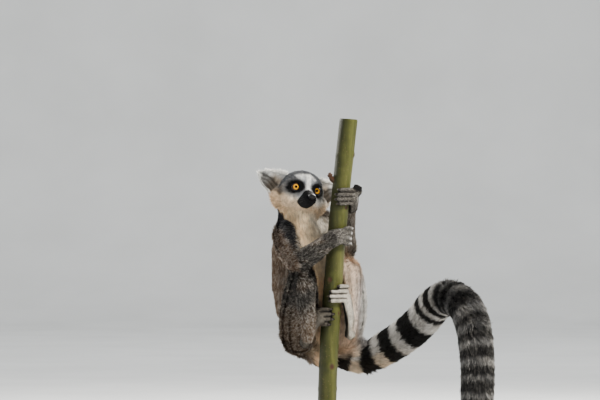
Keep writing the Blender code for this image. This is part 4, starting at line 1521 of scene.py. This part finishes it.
def build_perch(bark, cut):
    """The stem with its swellings and scars, the stub of a broken twig, and sawn ends."""
    rows, columns = 200, 56
    heights = np.linspace(PERCH_FOOT[2], PERCH_TOP[2], rows)
    centre, radius = perch_at(heights)
    turns = 2 * math.pi * np.arange(columns) / columns
    up = unit(PERCH_TOP - PERCH_FOOT)
    side = unit(np.cross(up, (0, 1, 0)))
    ring = np.cos(turns)[None, :, None] * side + np.sin(turns)[None, :, None] * np.cross(up, side)
    reach = np.repeat(radius[:, None], columns, axis=1)
    flat = centre[:, None] + ring * reach[..., None]
    reach = reach + 0.00022 * waves(flat.reshape(-1, 3) * (1, 1, 0.3), 0.02, 41).reshape(rows, columns)
    scar = np.zeros((rows, columns))
    for height, bearing, size in KNOTS:
        spot, knot_radius = perch_at(height * MM)
        middle = spot + level_way(bearing) * knot_radius
        gap = np.linalg.norm((flat - middle) * (1, 1, 0.8), axis=-1) / (size * MM)
        reach = reach + 0.0011 * np.exp(-(((gap - 1.0) / 0.55) ** 2)) - 0.0009 * np.exp(-((gap / 0.45) ** 2))
        reach = reach + 0.0005 * np.exp(-(((flat[..., 2] - height * MM) / 0.0035) ** 2))
        scar = np.maximum(scar, np.exp(-((gap / 0.75) ** 2)))
    inset = np.minimum(heights - heights[0], heights[-1] - heights) / BEVEL_RUN
    reach -= (BEVEL * (1 - np.clip(inset, 0, 1)) ** 2)[:, None]
    points = (centre[:, None] + ring * reach[..., None]).reshape(-1, 3)
    faces = grid_faces(rows, columns, True)
    wall, rim = len(faces), len(points)
    for base, middle in ((0, centre[0]), ((rows - 1) * columns, centre[-1])):
        inner = len(points) + 1
        points = np.vstack([points, middle[None], middle + (points[base : base + columns] - middle) * 0.5])
        for j in range(columns):
            right = (j + 1) % columns
            faces.append((base + j, base + right, inner + right, inner + j))
            faces.append((inner + j, inner + right, inner - 1))
    mesh = outward(mesh_from("stem", points, faces))
    mesh.polygons.foreach_set("material_index", (np.arange(len(faces)) >= wall).astype(np.int32))
    axis, wide = perch_at(points[:, 2])
    plain_ends = np.zeros(len(points) - rim)
    # Painted shade on the wall: 1 on the side that faces -X, 0 on the side that faces +X, with a little
    # noise.
    weather = 0.5 - 0.62 * ring[..., 0] + 0.12 * waves(flat.reshape(-1, 3), 0.02, 43).reshape(rows, columns)
    set_attribute(mesh, "scar", "FLOAT", np.r_[scar.ravel(), plain_ends])
    set_attribute(mesh, "ring", "FLOAT", np.linalg.norm((points - axis)[:, :2], axis=1) / wide)
    set_attribute(mesh, "weather", "FLOAT", np.r_[np.clip(weather, 0, 1).ravel(), plain_ends])
    mesh.set_sharp_from_angle(angle=math.radians(50))
    piece("stem", mesh, [bark, cut], ("perch",))
    build_twig(bark)


def build_twig(bark):
    """The broken twig's stub, brown and split at its end."""
    root, radius = perch_at(0.475)
    bends = ([0, 0, 0], [-radius - 0.001, -0.003, 0.007], [-radius - 0.005, -0.005, 0.015])
    route = smooth_curve([root + bend for bend in bends], 8)
    rng = np.random.default_rng(SEED + 2)
    share = np.linspace(0, 1, len(route))
    radii = 0.0056 - 0.0024 * share + 0.0004 * rng.normal(size=len(route)) + 0.0008 * np.sin(share * 17)
    spots, faces = tube(route, radii, 16)
    spots[-16:] += rng.uniform(-0.0012, 0.0022, (16, 1)) * unit(route[-1] - route[-2])
    mesh = outward(mesh_from("twig_stub", spots, faces))
    set_attribute(mesh, "scar", "FLOAT", np.repeat(np.clip(share * 1.6, 0, 1), 16))
    piece("twig_stub", mesh, [bark])


def oak_material(flecks):
    """Dark stained oak with long grain and a satin lacquer."""
    material, tree, shader = new_material("oak_board", Coat_Weight=0.35, Coat_Roughness=0.22)
    grain = noise(tree, object_place(tree, (7, 110, 110)), 1.0, 6.0, 0.62)
    bands = noise(tree, object_place(tree, (1.6, 16, 16)), 1.0, 3.0, 0.5)
    colour = ramp(tree, grain, (0.3, (0.030, 0.014, 0.007)), (0.7, (0.115, 0.060, 0.030)))
    colour = mix(tree, ramp(tree, bands, (0.35, 0.0), (0.7, 0.6)), colour, (0.16, 0.088, 0.045, 1))
    colour, _ = flecked(tree, flecks, colour, 600.0, 0.12)
    feed(tree, shader, Base_Color=colour, Roughness=ramp(tree, grain, (0.3, 0.46), (0.7, 0.32)))
    feed(tree, shader, Normal=bump(tree, grain, 0.25, 0.0005))
    return material


def steel_material():
    """Satin steel with fine marks along the rod."""
    material, tree, shader = new_material("satin_steel", Metallic=1.0)
    marks = noise(tree, object_place(tree, (900, 900, 40)), 1.0, 3.0, 0.6)
    tone = ramp(tree, marks, (0.3, (0.46, 0.47, 0.49)), (0.7, (0.62, 0.63, 0.65)))
    rough = ramp(tree, marks, (0.3, 0.26), (0.7, 0.42))
    feed(tree, shader, Base_Color=tone, Roughness=rough, Normal=bump(tree, marks, 0.08, 0.0002))
    return material


def finish_stand(oak, steel):
    """The frame's own base, rod and collar keep their shape and get their finish."""
    for name, material in (("stand_base", oak), ("stand_rod", steel), ("stand_collar", steel)):
        obj = frame["nodes"][name]
        obj.data.materials.clear()
        obj.data.materials.append(material)


# ---------------------------------------------------------------- room, lights and camera
def build_room():
    """A pale floor that curves up into a backdrop."""
    steps = 12
    turns = [math.pi / 2 * k / steps for k in range(1, steps + 1)]
    curve = [(FLOOR_END + BEND * math.sin(turn), BEND - BEND * math.cos(turn)) for turn in turns]
    rows = [(-FLOOR_END, 0.0), (FLOOR_END, 0.0), *curve, (FLOOR_END + BEND, WALL_TOP)]
    points = [(x, y, z) for y, z in rows for x in (-ROOM_HALF, ROOM_HALF)]
    mesh = mesh_from("room", points, grid_faces(len(rows), 2, False))
    material, tree, shader = new_material("pale_floor", Roughness=0.9, Specular_IOR_Level=0.2)
    patches = noise(tree, object_place(tree), 3.0, 3.0)
    feed(tree, shader, Base_Color=ramp(tree, patches, (0.3, (0.60, 0.61, 0.60)), (0.7, (0.66, 0.67, 0.66))))
    mesh.materials.append(material)
    link(bpy.data.objects.new("room", mesh))


def area_light(name, place, size, power, colour, aim=SUBJECT, glints=True):
    light = bpy.data.lights.new(name, "AREA")
    light.shape = "DISK"
    light.size = size
    light.energy = power
    light.color = colour
    obj = link(bpy.data.objects.new(name, light))
    obj.location = place
    obj.rotation_euler = (Vector(aim) - Vector(place)).to_track_quat("-Z", "Y").to_euler()
    obj.visible_glossy = glints


def build_lights():
    area_light("key", (1.5, -1.3, 2.1), 0.6, 130, (1.0, 0.96, 0.88), glints=False)
    area_light("catch", (0.9, -2.2, 2.3), 0.25, 5, (1.0, 1.0, 1.0))
    area_light("rim", (0.7, 1.6, 1.6), 0.7, 110, (1.0, 0.97, 0.92))
    area_light("edge", (-1.5, 1.1, 1.2), 0.7, 50, (1.0, 0.98, 0.95))
    area_light("fill", (-1.9, -2.0, 0.9), 1.8, 22, (0.93, 0.97, 1.0), glints=False)
    area_light("backdrop", (0, 2.6, 4.6), 2.0, 300, (1.0, 1.0, 1.0), (0, 8.0, 0.6), glints=False)
    world = bpy.data.worlds.new("studio")
    world.use_nodes = True
    sky = world.node_tree.nodes["Background"].inputs
    sky["Color"].default_value = SKY_COLOUR
    sky["Strength"].default_value = SKY_STRENGTH
    bpy.context.scene.world = world


def build_camera():
    camera = bpy.data.cameras.new("camera")
    camera.lens = LENS
    camera.sensor_width = SENSOR
    obj = link(bpy.data.objects.new("camera", camera))
    obj.location = CAMERA_PLACE
    obj.rotation_euler = (math.pi / 2, 0, 0)
    bpy.context.scene.camera = obj


def main():
    build_camera()
    flecks = fleck_group()
    hair = coat_material(flecks)
    bare = bare_material("bare_skin", (0.005, 0.0045, 0.005), 0.30, 900.0)
    skin, nearest = build_skin()
    build_coat(skin, nearest, hair)
    skin_mesh = thin_skin(skin)
    unwrap(skin, "OFBake")
    bpy.data.objects.remove(skin, do_unlink=True)
    skin_mesh.shade_smooth()
    piece("skin", skin_mesh, [skin_material(flecks)], FLESH)
    build_eyes(eye_material(), bare)
    build_nose(bare)
    build_whiskers(bare_material("whisker", (0.01, 0.01, 0.01), 0.4, 300.0))
    build_nails(bare_material("nail_horn", (0.03, 0.024, 0.02), 0.25, 500.0))
    build_perch(bark_material(flecks), cut_wood_material(flecks))
    finish_stand(oak_material(flecks), steel_material())
    build_room()
    build_lights()


main()
